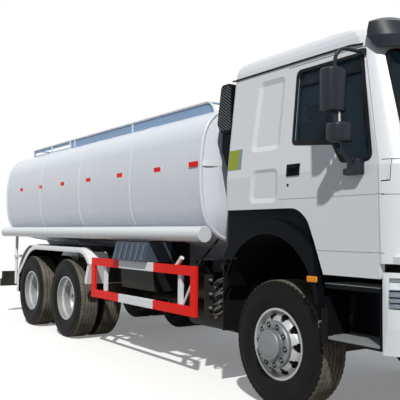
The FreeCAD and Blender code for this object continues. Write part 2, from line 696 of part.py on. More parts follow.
def tank_section(grow, scale):
    """Rounded rectangle of tangent arcs, grown outwards and scaled about the tank's axis."""
    half_width = (s.tank_half_width + grow) * scale
    half_height = (s.tank_half_height + grow) * scale
    crown = (s.tank_crown_radius + grow) * scale
    flank = (s.tank_side_radius + grow) * scale
    corner = (s.tank_corner_radius + grow) * scale
    # the corner's centre lies crown - corner from one centre and flank - corner from the other
    below = half_height - crown
    beside = half_width - flank
    reach_crown = crown - corner
    reach_flank = flank - corner
    span = root(below * below + beside * beside)
    along = (reach_crown * reach_crown - reach_flank * reach_flank + span * span) / (2 * span)
    off = root(reach_crown * reach_crown - along * along)
    unit_y = beside / span
    unit_z = -below / span
    centre_y = along * unit_y + off * unit_z
    centre_z = below + along * unit_z - off * unit_y
    top_y = centre_y * crown / reach_crown
    top_z = below + (centre_z - below) * crown / reach_crown
    side_y = beside + (centre_y - beside) * flank / reach_flank
    side_z = centre_z * flank / reach_flank
    middle = s.tank_middle
    return [
        (side_y, middle - side_z, flank), (side_y, middle + side_z, corner),
        (top_y, middle + top_z, crown), (-top_y, middle + top_z, corner),
        (-side_y, middle + side_z, flank), (-side_y, middle - side_z, corner),
        (-top_y, middle - top_z, crown), (top_y, middle - top_z, corner)]


tank_front = at(s.tank_front_at)
tank_rear = at(s.tank_rear_at)
barrel = pad("tank_barrel", "YZ", tank_section(value(0), value(1)), tank_rear, tank_front)
tank_pieces = [barrel]
for number in range(3):
    x = at(s.seam_first_at) - s.seam_pitch * number
    tank_pieces.append(pad("tank_seam_%d" % number, "YZ", tank_section(s.seam_height, value(1)),
                           x - s.seam_width / 2, x + s.seam_width / 2))
for label, x in (("front", tank_front - s.rim_ring_width), ("rear", tank_rear)):
    tank_pieces.append(pad("tank_ring_" + label, "YZ", tank_section(s.rim_ring_height, value(1)),
                           x, x + s.rim_ring_width))
for label, x, way in (("front", tank_front, 1), ("rear", tank_rear, -1)):
    sections = []
    for angle in (0, 30, 55, 75):
        scale = 0.985 * math.cos(math.radians(angle))
        lift = x + way * s.head_depth * math.sin(math.radians(angle))
        sections.append((lift, tank_section(value(0), value(scale))))
    tank_pieces.append(lofted("tank_head_" + label, "YZ", sections))
node("tank_shell", fuse("tank_solid", tank_pieces))

# Bearers and saddles between frame and tank

bearer_top = s.frame_top + s.bearer_height
tank_bottom = s.tank_middle - s.tank_half_height
saddle_pieces = [box("bearer_right", (at(s.rail_rear_at), -rail_out, s.frame_top + s.part_gap),
                     (at(s.tank_front_at), -rail_out + s.bearer_width, bearer_top))]
saddle_pieces.append(mirrored("bearer_left", saddle_pieces[0]))
tank_void = pad("tank_clearance", "YZ", tank_section(s.seam_height + s.part_gap, value(1)),
                tank_rear - 600, tank_front + 600)
for number in range(5):
    x = tank_front - 260 - number * (s.tank_front_at - s.tank_rear_at - 520) / 4
    saddle_pieces.append(pad("saddle_%d" % number, "YZ", [
        (-rail_out, s.frame_top + 40), (rail_out, s.frame_top + 40),
        (s.saddle_half_width, tank_bottom + 60), (-s.saddle_half_width, tank_bottom + 60)],
        x - 30, x + 30))
node("tank_saddles", cut("saddle_set", fuse("saddle_blanks", saddle_pieces), [tank_void]))

# Coaming, walkway and manhole on top

tank_top = s.tank_middle + s.tank_half_height
coaming_y = s.coaming_half_width
crown_drop = s.tank_crown_radius - root(s.tank_crown_radius * s.tank_crown_radius - coaming_y * coaming_y)
coaming_base = tank_top - crown_drop
coaming_top = coaming_base + s.coaming_height
coaming_sheet = pad("coaming_sheet", "XZ", [
    (at(s.coaming_rear_at), coaming_base - 8), (at(s.coaming_front_at), coaming_base - 8),
    (at(s.coaming_front_at) - 34, coaming_top - 60, 62), (at(s.coaming_front_at) - 93, coaming_top),
    (at(s.coaming_rear_at), coaming_top)], -coaming_y, -coaming_y + s.coaming_wall)
coaming_slot = box("coaming_slot", (at(s.coaming_rear_at) + s.coaming_post_width, -coaming_y - 20,
                                    coaming_base + s.coaming_strip),
                   (at(s.coaming_plate_end_at), -coaming_y + 20, coaming_top - s.coaming_rail))
coaming_pieces = [
    cut("coaming_plate", coaming_sheet, [coaming_slot]),
    rod("coaming_pipe", s.coaming_pipe_radius,
        (at(s.coaming_rear_at), -coaming_y + s.coaming_wall / 2, coaming_top), "X",
        s.coaming_front_at - s.coaming_rear_at - 100)]
for number in range(2):
    x = at(s.gusset_first_at) - s.gusset_pitch * number
    coaming_pieces.append(box("coaming_gusset_%d" % number, (x - 8, -coaming_y - 24, coaming_base - 8),
                              (x + 8, -coaming_y + 1, coaming_top - 15)))
coaming_right = fuse("coaming_right", coaming_pieces)
crossbars = []
for number, distance in enumerate((s.coaming_front_at - 120, s.coaming_rear_at + 20)):
    crossbars.append(rod("coaming_crossbar_%d" % number, s.coaming_pipe_radius,
                         (at(distance), -coaming_y + s.coaming_wall / 2, coaming_top), "Y",
                         2 * coaming_y - s.coaming_wall))
coaming = fuse("coaming_blank", [coaming_right, mirrored("coaming_left", coaming_right)] + crossbars)
crown_void = pad("crown_clearance", "YZ", tank_section(s.seam_height + s.part_gap, value(1)),
                 tank_rear, tank_front)
node("top_coaming", cut("coaming_set", coaming, [crown_void]))

manhole_x = at(s.manhole_at)
collar_top = tank_top + s.manhole_height
collar = cut("collar_ring",
             rod("collar_outer", s.manhole_radius, (manhole_x, 0, tank_top - 40), "Z", s.manhole_height + 40),
             [rod("collar_inner", s.manhole_radius - s.manhole_wall,
                  (manhole_x, 0, tank_top + 12), "Z", s.manhole_height + 40)])
hinge_x = manhole_x - s.lid_radius - 30
lug = box("collar_lug", (hinge_x - 16, -40, collar_top - 60),
          (manhole_x - s.manhole_radius + 6, 40, collar_top - 12))
hinge_z = collar_top + s.lid_thickness / 2 + 1
ears = []
for label, y in (("a", -40), ("b", 24)):
    ears.append(box("collar_ear_" + label, (hinge_x - 16, y, collar_top - 60),
                    (hinge_x + 16, y + 16, hinge_z + 14)))
pin = rod("lid_pin", 7, (hinge_x, -40, hinge_z), "Y", 80)
node("manhole_collar", cut("collar_set", fuse("collar_blank", [collar, lug] + ears + [pin]), [crown_void]))

lid = fuse("lid_blank", [
    rod("lid_disc", s.lid_radius, (manhole_x, 0, collar_top + 1), "Z", s.lid_thickness),
    box("lid_arm", (hinge_x - 14, -18, collar_top + 1), (manhole_x, 18, collar_top + 1 + s.lid_thickness)),
    rod("lid_knob", 26, (manhole_x + s.lid_radius - 60, 0, collar_top + 1), "Z", s.lid_thickness + 40)])
node("manhole_lid", cut("lid_solid", lid, [rod("lid_pin_hole", 7 + s.part_gap, (hinge_x, -40, hinge_z), "Y",
                                               80)]))

# Hose tubes along the tank

hose = rod("hose_tube_right", s.hose_tube_radius,
           (at(s.hose_tube_rear_at), -s.hose_tube_half_spacing, s.hose_tube_height), "X",
           s.hose_tube_front_at - s.hose_tube_rear_at)
node("hose_tubes", cut("hose_tube_set", group("hose_tube_pair", [hose, mirrored("hose_tube_left", hose)]),
                       [tank_void]))

# Side guards

guard_y = s.guard_half_width
guard_bars = [
    box("guard_lower", (at(s.guard_rear_at), -guard_y, s.guard_low),
        (at(s.guard_front_at), -guard_y + s.guard_depth, s.guard_low + s.guard_bar)),
    box("guard_upper", (at(s.guard_rear_at), -guard_y, s.guard_top - s.guard_bar),
        (at(s.guard_front_at), -guard_y + s.guard_depth, s.guard_top)),
    box("guard_front", (at(s.guard_front_at) - s.guard_bar, -guard_y, s.guard_low),
        (at(s.guard_front_at), -guard_y + s.guard_depth, s.guard_top)),
    box("guard_rear", (at(s.guard_rear_at), -guard_y, s.guard_low),
        (at(s.guard_rear_at) + s.guard_bar, -guard_y + s.guard_depth, s.guard_top))]
for number, x in enumerate((at(s.guard_front_at) - 330, at(s.guard_rear_at) + 330)):
    guard_bars.append(box("guard_bracket_%d" % number,
                          (x - 30, -guard_y + s.guard_depth - 1, s.guard_low + 20),
                          (x + 30, -guard_y + s.guard_depth + 30, s.guard_top - 10)))
    guard_bars.append(box("guard_arm_%d" % number, (x - 30, -guard_y + s.guard_depth + 20, s.guard_top - 90),
                          (x + 30, -rail_out - s.part_gap, s.guard_top - 30)))
node("side_guards", pair("guard_pair", fuse("guard_right", guard_bars)))

# Mudguards over the drive wheels

def mudguard_line(inset):
    """The bent band in side view from front to rear, drawn inset from its outer line."""
    top = s.mudguard_top - inset
    front = at(s.mudguard_front_at) - inset
    rear = at(s.mudguard_rear_at) + inset
    return [
        (front - 90, s.mudguard_low), (front, top - 200, 420 - inset), (at(s.mudguard_flat_front_at), top),
        (at(s.mudguard_flat_rear_at), top, 760 - inset), (rear + 30, top - 480), (rear, s.mudguard_rear_low)]


mudguard = pad("mudguard_sheet", "XZ", mudguard_line(value(0)) + backwards(mudguard_line(s.mudguard_wall)),
               -s.mudguard_outer, -s.mudguard_inner)
mudguard_pieces = [mudguard]
arm_pitch = (s.mudguard_flat_rear_at - s.mudguard_flat_front_at + 180) / 2
for number in range(3):
    x = at(s.mudguard_flat_front_at) - 160 + number * arm_pitch
    under = s.mudguard_top - s.mudguard_wall + 2
    mudguard_pieces.append(box("mudguard_arm_%d" % number, (x - 25, -s.mudguard_outer + 40, under - 40),
                               (x + 25, -rail_out - s.part_gap, under)))
    mudguard_pieces.append(box("mudguard_foot_%d" % number, (x - 25, -rail_out - 12, s.frame_top - 120),
                               (x + 25, -rail_out - s.part_gap, under)))
node("rear_mudguards", pair("mudguard_pair", fuse("mudguard_right", mudguard_pieces)))

# Boxes and reservoirs on the frame

battery = pad("battery_box_solid", "YZ", [
    (-s.battery_inner, s.battery_low - s.battery_depth),
    (-s.guard_half_width + 90, s.battery_low - s.battery_depth),
    (-s.guard_half_width + 60, s.battery_low), (-s.battery_cover_out, s.battery_low),
    (-s.battery_cover_out + 52, s.battery_top - 14, -16), (-s.battery_cover_out + 66, s.battery_top),
    (-s.battery_inner, s.battery_top)],
    at(s.battery_front_at) - s.battery_length, at(s.battery_front_at))
battery_ribs = []
rib_pitch = s.battery_length / s.battery_rib_count
for number in range(SIZES["battery_rib_count"]):
    x = at(s.battery_front_at) - rib_pitch * (number + 0.5)
    battery_ribs.append(pad("battery_rib_%d" % number, "YZ", [
        (-s.battery_cover_out + 12, s.battery_low + 8), (-s.battery_cover_out - 8, s.battery_low + 8),
        (-s.battery_cover_out + 40, s.battery_top - 24), (-s.battery_cover_out + 62, s.battery_top - 24)],
        x - 8, x + 8))
battery_arms = []
for number, share in enumerate((0.2, 0.8)):
    x = at(s.battery_front_at) - s.battery_length * share
    battery_arms.append(box("battery_arm_%d" % number, (x - 25, -s.battery_inner - 1, s.frame_top - 160),
                            (x + 25, -rail_out - s.part_gap, s.frame_top - 100)))
node("battery_box", fuse("battery_set", [cut("battery_box_cut", battery,
                                             [tank_void])] + battery_ribs + battery_arms))

fuel_x = at(s.fuel_front_at)
r = s.fuel_corner
f_in = rail_out + 40
f_out = f_in + s.fuel_width
f_low = s.fuel_low
f_top = s.fuel_low + s.fuel_height
fuel = pad("fuel_tank_solid", "YZ", [
    (f_in + r, f_low), (f_out - r, f_low, r), (f_out, f_low + r), (f_out, f_top - r, r), (f_out - r, f_top),
    (f_in + r, f_top, r), (f_in, f_top - r), (f_in, f_low + r, r)], fuel_x - s.fuel_length, fuel_x)
straps = []
for number, share in enumerate((0.22, 0.78)):
    x = fuel_x - s.fuel_length * share
    straps.append(box("fuel_strap_%d" % number, (x - 30, rail_out + s.part_gap, f_low + 40),
                      (x + 30, f_in + 1, f_top)))
node("fuel_tank", fuse("fuel_tank_set", [fuel] + straps))

air_x = at(s.battery_front_at) + 25
air_tanks = []
for number in range(2):
    y = -rail_out - s.air_tank_radius - 20
    z = rail_low - 40 - number * (2 * s.air_tank_radius + 20) + s.air_tank_radius
    air_tanks.append(rod("air_tank_%d" % number, s.air_tank_radius, (air_x, y, z), "X", s.air_tank_length))
air_band = box("air_tank_band", (air_x + 320, -rail_out - s.part_gap - 60, rail_low - 200),
               (air_x + 380, -rail_out - s.part_gap, s.frame_top - 60))
node("air_tanks", fuse("air_tank_set", air_tanks + [air_band]))

valve_boxes = []
for number, (rear, front, out, inner, low, high) in enumerate((
        (-1123, -904, 1000, 760, 1075, 1195), (-1620, -1460, 860, 680, 1010, 1165))):
    valve_boxes.append(fuse("valve_box_%d" % number, [
        box("valve_housing_%d" % number, (at(rear), -out, low), (at(front), -inner, high)),
        box("valve_arm_%d" % number, (at(rear) + 60, -inner - 1, s.frame_top - 60),
            (at(rear) + 110, -rail_out - s.part_gap, s.frame_top - 10)),
        box("valve_foot_%d" % number, (at(rear) + 60, -inner - 60, s.frame_top - 60),
            (at(rear) + 110, -inner - 10, low + 5))]))
node("valve_boxes", group("valve_box_set", valve_boxes))

# Cab

# height, half width, front, rear step, share of the roof's inset
CAB_LEVELS = (
    (s.cab_low, s.cab_half_low, s.cab_front_low, 0, 0),
    (s.cab_waist, s.cab_half_waist, s.cab_front_waist, 0, 0),
    (s.cab_gutter, s.cab_half_gutter, s.cab_front_gutter, 0, 0),
    (s.cab_gutter + 60, s.cab_half_gutter - 11, s.cab_front_gutter - 30, 4, 0.3),
    (s.cab_shoulder, s.cab_half_shoulder, s.cab_front_shoulder, 12, 0.6),
    (s.cab_shoulder + 38, s.cab_half_shoulder - 30, s.cab_front_shoulder - 95, 26, 0.8),
    (s.cab_shoulder + 66, s.cab_half_shoulder - 75, s.cab_front_shoulder - 315, 48, 0.9),
    (s.cab_roof, s.cab_half_roof, s.cab_front_roof, 90, 1),
)


def cab_plan(half_width, front, rear_step, inset):
    """The cab's outline from above at one level, inset by a wall."""
    wide = half_width - inset
    nose = at(front) - inset
    rear = at(s.cab_rear_at) + rear_step + inset
    corner = s.cab_rear_corner
    knee_x = nose - s.cab_nose_sweep
    knee_y = wide - s.cab_corner_width
    sweep = (knee_y * knee_y + s.cab_nose_sweep * s.cab_nose_sweep) / (2 * s.cab_nose_sweep)
    side_x = knee_x - s.cab_corner_length
    return [
        (rear + corner, -wide), (side_x, -wide, s.cab_corner_width * 1.35), (knee_x, -knee_y, sweep),
        (knee_x, knee_y, s.cab_corner_width * 1.35), (side_x, wide), (rear + corner, wide, corner),
        (rear, wide - corner), (rear, corner - wide, corner)]


def cab_form(name, inset, below, top_inset):
    """The whole cab as a solid, shrunk by inset, reaching below its lowest edge."""
    sections = []
    for number, (height, half_width, front, rear_step, share) in enumerate(CAB_LEVELS):
        lift = height - top_inset * share
        if number == 0:
            lift = height - below
        sections.append((lift, cab_plan(half_width, front, rear_step, inset)))
    return lofted(name, "XY", sections)


cab_outer = cab_form("cab_outer", value(0), 0, 0)
cab_inner = cab_form("cab_inner", s.cab_wall, 80, s.cab_wall)


def arch_bend(line):
    """The arch's line with its two upper corners rounded and the rest left sharp."""
    corners = rounded(line, SIZES["arch_corner"])
    bend = []
    for i, point in enumerate(line):
        if 4 <= i <= 5:
            bend += corners[2 * i:2 * i + 2]
        else:
            bend.append(point)
    return bend


arch_line = [
    (at(s.cab_rear_at) - 100, s.cab_low - 150), (at(s.arch_front_at), s.cab_low - 150),
    (at(s.arch_front_at), s.cab_low),
    (at(s.arch_front_at - 92), s.cab_low + 240), (at(s.arch_front_at - 166), s.arch_top - 100),
    (at(s.arch_knee_at), s.arch_top), (at(s.cab_rear_at) - 100, s.arch_top)]
arch_void = pad("arch_void", "XZ", arch_bend(arch_line), -1400, 1400)
cab_skin = cut("cab_skin", cab_outer, [cab_inner, arch_void])

# floor follows the arch; tunnel over the engine
wall = s.cab_floor_wall
floor_in = s.cab_half_low - s.cab_wall + 20
floor_band = pad("floor_band", "XZ", [
    (at(s.cab_rear_at) + 10, s.arch_top), (at(s.arch_knee_at), s.arch_top),
    (at(s.arch_front_at - 166), s.arch_top - 100),
    (at(s.arch_front_at - 92), s.cab_low + 240), (at(s.arch_front_at - 20), s.cab_sill),
    (at(s.cab_front_low) - 120, s.cab_sill), (at(s.cab_front_low) - 120, s.cab_sill + wall),
    (at(s.arch_front_at + 22), s.cab_sill + wall), (at(s.arch_front_at - 44), s.cab_low + 260),
    (at(s.arch_front_at - 130), s.arch_top - 60), (at(s.arch_knee_at + 20), s.arch_top + wall),
    (at(s.cab_rear_at) + 10, s.arch_top + wall)], -floor_in, floor_in)
tunnel_out = box("tunnel_out", (at(-100), -s.tunnel_half_width - wall, s.cab_sill),
                 (at(s.engine_front_at + 100), s.tunnel_half_width + wall, s.tunnel_top + wall))
tunnel_in = box("tunnel_in", (at(-200), -s.tunnel_half_width, s.cab_sill - 100),
                (at(s.engine_front_at + 60), s.tunnel_half_width, s.tunnel_top))
under_arch = cut("tunnel_above_floor", tunnel_out, [arch_void])
floor_blank = cut("floor_blank", fuse("floor_and_tunnel", [floor_band, under_arch]), [tunnel_in])

# doors


def door_outline(grow):
    """The door in side view; grow widens it for the gap in the cab."""
    return [
        (at(s.door_rear_at) - grow, s.cab_low - 60), (at(s.door_front_at) + grow, s.cab_low - 60),
        (at(s.door_front_at) + grow, s.cab_low + 100), (at(s.door_bend_at) + grow, s.door_bend_height),
        (at(s.door_top_front_at) + grow, s.door_top + grow), (at(s.door_rear_at) - grow, s.door_top + grow)]


window_line = [
    (at(s.window_rear_at), s.window_low), (at(s.window_step_rear_at), s.window_step_low),
    (at(s.window_step_front_at), s.window_front_low + 8), (at(s.window_front_at), s.window_front_low),
    (at(s.window_top_front_at), s.window_top), (at(s.window_rear_at) - 10, s.window_top)]
side_reach = s.cab_half_waist + 60
side_in = s.cab_half_gutter - s.cab_wall - 60

door_slab = pad("door_slab", "XZ", door_outline(value(0)), -side_reach, -side_in)
door_hole = pad("door_hole", "XZ", door_outline(s.door_gap), -side_reach, -side_in)
window_hole = pad("window_hole", "XZ", rounded(window_line, SIZES["window_corner"]), -side_reach, -side_in)
handle_pocket = pad("handle_pocket", "XZ", rounded([
    (at(s.handle_at), s.handle_height), (at(s.handle_at) + s.handle_length, s.handle_height),
    (at(s.handle_at) + s.handle_length, s.handle_height + 88), (at(s.handle_at), s.handle_height + 88)], 18),
    -side_reach, -s.cab_half_waist + 32)
crease_blank = fuse("crease_blank", [
    box("crease_upper", (at(s.door_rear_at) - 40, -side_reach, s.crease_high),
        (at(s.door_front_at) + 40, -side_in, s.crease_high + 7)),
    box("crease_lower", (at(s.arch_front_at) - 60, -side_reach, s.crease_low),
        (at(s.door_front_at) + 40, -side_in, s.crease_low + 7))])
cab_under = cab_form("cab_under", value(5), 0, 5)
creases = cut("crease_tool", crease_blank, [cab_under])
door = cut("door_panel_right", common("door_blank_right", [cab_skin, door_slab]),
           [window_hole, handle_pocket, creases])
node("door_right", door)
node("door_left", mirrored("door_panel_left", door))

glass_out = cab_form("glass_out", s.glass_inset, 0, s.glass_inset)
glass_in = cab_form("glass_in", s.glass_inset + s.glass_wall, 10, s.glass_inset + s.glass_wall)
glass_skin = cut("glass_skin", glass_out, [glass_in])


def shrunk(points, middle, gap):
    """Outline points moved towards a middle point by a gap on each axis."""
    moved = []
    for u, v in points:
        du = gap if u.number < middle[0].number else -gap
        dv = gap if v.number < middle[1].number else -gap
        moved.append((u + du, v + dv))
    return moved


window_middle = (at(s.window_step_front_at) + 20, (s.window_low + s.window_top) / 2)
pane_line = shrunk([(value(u), value(v)) for u, v in window_line], window_middle, s.part_gap)
pane_slab = pad("pane_slab", "XZ", rounded(pane_line, SIZES["window_corner"]), -side_reach, -side_in)
pane = common("door_pane_right", [glass_skin, pane_slab])
node("door_glass_right", pane)
node("door_glass_left", mirrored("door_pane_left", pane))

# windscreen


def screen_line(gap):
    return [
        (-s.screen_half_low + gap, s.screen_low + gap), (s.screen_half_low - gap, s.screen_low + gap),
        (s.screen_half_top - gap, s.screen_top - gap), (-s.screen_half_top + gap, s.screen_top - gap)]


nose_low = at(s.cab_front_gutter) - s.cab_nose_sweep - s.cab_corner_length + 20
screen_front = at(s.cab_front_low) + 100
screen_hole = pad("screen_hole", "YZ", rounded(screen_line(value(0)), 60), nose_low, screen_front)
screen_slab = pad("screen_slab", "YZ", rounded(screen_line(s.part_gap), 60), nose_low, screen_front)
node("windscreen", common("windscreen_solid", [glass_skin, screen_slab]))

door_room = pad("door_room", "XZ", door_outline(s.door_gap), -side_reach,
                -s.cab_half_low + s.cab_wall + 2 * s.door_gap)
floor_blank = cut("cab_floor", floor_blank, [door_room, mirrored("door_room_left", door_room)])
sill_void = box("sill_void", (at(0), -side_reach, s.cab_low - 60),
                (at(s.cab_front_low) + 100, side_reach, s.cab_sill))


def dish(name, corners, lean):
    """A frustum that presses a shallow panel into the cab's side, leaning with it."""
    rim = SIZES["dish_rim"]
    inner = []
    for u, v in corners:
        inner.append((u + (rim if u.number < at(-100).number else -rim), v + (rim if v.number < 0 else -rim)))
    tool = lofted(name, "XZ", [
        (value(2), rounded(corners, 62)), (-s.dish_depth, rounded(inner, 30))])
    tool.Placement = FreeCAD.Placement(FreeCAD.Vector(), FreeCAD.Rotation(FreeCAD.Vector(1, 0, 0), -lean))
    return tool


def dish_corners(left, right, low, top, middle):
    return [(at(left), low - middle), (at(right), low - middle), (at(right) + 8, top - middle),
            (at(left) + 36, top - middle)]


side_lean = math.degrees(math.atan(
    (s.cab_half_waist.number - s.cab_half_gutter.number) / (s.cab_gutter.number - s.cab_waist.number)))
upper_middle = value(2480)
lower_middle = value(1868)
upper_y = s.cab_half_waist - (upper_middle - s.cab_waist) * (s.cab_half_waist - s.cab_half_gutter) / (
    s.cab_gutter - s.cab_waist)
dishes = [place(dish("dish_upper", dish_corners(-287, 97, 2157, 2805, upper_middle), side_lean),
                0, -upper_y, upper_middle),
          place(dish("dish_lower", dish_corners(-289, 100, 1706, 2030, lower_middle), 0),
                0, -s.cab_half_waist, lower_middle)]

# grille in the cab's face


def grille_line(gap):
    half = s.grille_half_width - gap
    return rounded([(-half, s.grille_low + gap), (half, s.grille_low + gap),
                    (half, s.grille_top - gap), (-half, s.grille_top - gap)], 40)


grille_pocket = cut("grille_pocket", pad("grille_hole", "YZ", grille_line(value(0)), at(1000), screen_front),
                    [cab_form("grille_floor", value(26), 0, 26)])
grille_blank = common("grille_blank", [
    cut("grille_band", cab_under, [cab_form("grille_back", value(26) - s.part_gap, 10, 26)]),
    pad("grille_slab", "YZ", grille_line(s.part_gap), at(1000), screen_front)])
slots = []
slot_pitch = (s.grille_top - s.grille_low - 40) / s.grille_slot_count
for number in range(SIZES["grille_slot_count"]):
    low = s.grille_low + 40 + slot_pitch * number
    for label, inner, outer in (("right", -s.grille_half_width + 40, value(-20)),
                                ("left", value(20), s.grille_half_width - 40)):
        slots.append(box("grille_slot_%s_%d" % (label, number), (at(1000), inner, low),
                         (screen_front, outer, low + slot_pitch - 40)))
slot_tool = cut("grille_slots", fuse("grille_slot_blanks", slots),
                [cab_form("slot_floor", value(18), 10, 18)])
node("grille", cut("grille_solid", grille_blank, [slot_tool]))

side_tools = [door_hole, creases] + dishes
cab_tools = side_tools + [mirrored(tool.Name + "_left", tool) for tool in side_tools]
cab_walls = cut("cab_skin_cut", cab_skin, cab_tools + [screen_hole, sill_void, grille_pocket])
above_gutter = box("above_gutter", (at(-1000), -side_reach, s.cab_gutter),
                   (screen_front, side_reach, s.cab_roof + 100))
above_seam = box("above_seam", (at(-1000), -side_reach, s.cab_gutter + s.part_gap),
                 (screen_front, side_reach, s.cab_roof + 100))
node("cab_roof", common("cab_roof_solid", [cab_walls, above_seam]))
cab_shell = fuse("cab_shell_set", [cut("cab_lower_walls", cab_walls, [above_gutter]), floor_blank])
arm = pad("tilt_arm_web", "XZ", [
    (at(s.tilt_at) + 10, s.tilt_height - 24), (at(s.tilt_at) + 24, s.tilt_height + 10),
    (at(s.tilt_at) - 120, s.cab_sill + 4), (at(s.tilt_at) - 320, s.cab_sill + 4)],
    -rail_out + 20, -rail_out + 60)
arm_eye = rod("tilt_arm_eye", 28, (at(s.tilt_at), -rail_out + 20, s.tilt_height), "Y", 40)
arm_hole = rod("tilt_arm_hole", s.tilt_pin_radius + s.part_gap, (at(s.tilt_at), -rail_out, s.tilt_height),
               "Y", 100)
tilt_arm = cut("tilt_arm", fuse("tilt_arm_blank", [arm, arm_eye]), [arm_hole])
node("cab_shell", fuse("cab_with_arms", [cab_shell, tilt_arm, mirrored("tilt_arm_left", tilt_arm)]))

# mirrors on the doors


side_wedge = pad("side_wedge", "YZ", [
    (-s.cab_half_low, s.cab_low), (-s.cab_half_waist, s.cab_waist), (-s.cab_half_gutter, s.cab_gutter),
    (0, s.cab_gutter), (0, s.cab_low)], at(0), at(s.cab_front_low))


def mirror_head(name, rear, low, high):
    """A mirror's housing: rounded in plan, drawn in at its ends."""
    sections = []
    for height, inset in ((low, 16), (low + 16, 0), (high - 16, 0), (high, 16)):
        sections.append((height, rounded([
            (at(rear) + inset, -mirror_out + inset), (at(rear) + s.mirror_depth - inset, -mirror_out + inset),
            (at(rear) + s.mirror_depth - inset, -mirror_out + s.mirror_width - inset),
            (at(rear) + inset, -mirror_out + s.mirror_width - inset)], 40 - inset)))
    return lofted(name, "XY", sections)


mirror_out = s.cab_half_waist + s.mirror_reach


def mirror_set():
    """Two mirror heads on a bent arm, on the right-hand door."""
    post_x = at(s.mirror_post_at)
    post_y = -mirror_out + s.mirror_width / 2
    head = mirror_head("mirror_head", s.mirror_post_at - 105, s.mirror_head_low, s.mirror_head_top)
    small = mirror_head("mirror_small", s.mirror_post_at - 44, s.mirror_small_low, s.mirror_small_top)
    post = rod("mirror_post", s.mirror_tube_radius, (post_x, post_y, s.mirror_post_low), "Z",
               s.mirror_post_length)
    post_top = s.mirror_post_low + s.mirror_post_length
    upper = pad("mirror_upper", "YZ", [
        (post_y - 11, post_top - 24), (post_y + 8, post_top - 24), (-s.cab_half_gutter + 60, s.door_top - 27),
        (-s.cab_half_gutter + 60, s.door_top - 5), (post_y - 4, post_top)], post_x - 12, post_x + 12)
    lower = pad("mirror_lower", "YZ", [
        (post_y - 11, 2120), (post_y - 11, 2085), (-s.cab_half_waist - 44, 1965),
        (-s.cab_half_waist - 12, 1965),
        (post_y + 13, 2092), (post_y + 13, 2120)], post_x - 12, post_x + 12)
    base = box("mirror_base", (post_x - 20, -s.cab_half_waist - 50, 1900),
               (at(1010), -s.cab_half_waist + 40, 2000))
    foot = box("mirror_foot", (at(862), -s.cab_half_waist - 40, 1886),
               (at(1020), -s.cab_half_waist + 40, 1930))
    whole = fuse("mirror_blank", [head, small, post, upper, lower, base, foot])
    return cut("mirror_right_solid", whole, [side_wedge])


mirror = mirror_set()
node("mirror_right", mirror)
node("mirror_left", mirrored("mirror_left_solid", mirror))

# arch trim


def flare():
    """Black ring over the front wheel with its lining, right-hand side."""
    centre = (at(s.flare_centre_at), s.flare_centre_height)
    out = s.cab_half_low + s.flare_out
    disc = rod("flare_disc", s.flare_radius + s.flare_width, (centre[0], -out, centre[1]), "Y", out - 800)
    hole = rod("flare_bore", s.flare_radius, (centre[0], -out - 10, centre[1]), "Y", out)
    liner = rod("flare_liner", s.flare_radius + 8, (centre[0], -out + 70, centre[1]), "Y", out)
    rear_cut = box("flare_rear_cut", (at(-1000), -out - 10, 0), (at(0), 0, s.flare_low_rear))
    front_cut = box("flare_front_cut", (at(-1), -out - 10, 0), (at(1000), 0, s.flare_low_front))
    lining_cut = box("flare_lining_cut", (at(-1), -out - 10, 0), (at(1000), 0, s.lining_low_front))
    body_gap = box("flare_body_gap", (at(-1000), -s.cab_half_low - 100, s.arch_top - s.part_gap),
                   (at(1000), 0, s.arch_top + 200))
    ring = cut("flare_ring", disc, [hole, rear_cut, front_cut, body_gap])
    band = cut("flare_band", ring, [box("flare_trim", (at(-1000), -out + 80, 0), (at(1000), 0, 3000))])
    lining = cut("flare_lining", common("flare_lining_blank", [ring, liner]), [lining_cut])
    infill = cut("flare_infill", box("infill_blank", (at(s.cab_rear_at) + 20, -s.cab_half_low + 30, 1300),
                                     (at(s.arch_front_at - 120), -s.cab_half_low + 60,
                                      s.arch_top - s.part_gap)),
                 [rod("infill_bore", s.flare_radius + 20, (centre[0], -out - 10, centre[1]), "Y", out)])
    void = pad("flare_arch_gap", "XZ", arch_bend([
        (at(2000), s.flare_low_front - 50), (at(2000), 2400), (at(0), 2400), (at(0), s.arch_top - s.part_gap),
        (at(s.arch_knee_at) - 8, s.arch_top - s.part_gap), (at(s.arch_front_at - 182), s.arch_top - 110),
        (at(s.arch_front_at - 108), s.cab_low + 240), (at(s.arch_front_at - 20), s.flare_low_front - 50)]),
        -1400, 0)
    return cut("flare_right", fuse("flare_blank", [band, lining, infill]), [void])


node("wheel_flares", pair("flare_pair", flare()))

# sun visor

VISOR_LEVELS = (
    (s.visor_low, s.visor_half_width - 30, s.visor_front_at),
    (s.visor_low + 90, s.visor_half_width, s.visor_front_at - 20),
    (s.visor_low + 205, s.visor_half_width - 4, s.visor_front_at - 75),
    (s.visor_top, s.visor_half_width - 90, s.visor_front_at - 190),
)
visor_outer = lofted("visor_outer", "XY", [
    (height, cab_plan(half, front, 0, value(0))) for height, half, front in VISOR_LEVELS])
visor_inner = lofted("visor_inner", "XY", [
    (height - s.visor_wall * (1 if number else 3), cab_plan(half, front, 0, s.visor_wall))
    for number, (height, half, front) in enumerate(VISOR_LEVELS)])
visor_side = pad("visor_side", "XZ", [
    (at(s.visor_rear_at) + 95, s.visor_low - 40), (screen_front, s.visor_low - 40),
    (screen_front, s.visor_top + 20), (at(s.visor_rear_at) + 40, s.visor_top + 20),
    (at(s.visor_rear_at) + 6, s.visor_low + 205), (at(s.visor_rear_at), s.visor_low + 95)],
    -1400, 1400)
visor_pieces = [common("visor_hood", [cut("visor_shell", visor_outer, [visor_inner]), visor_side])]
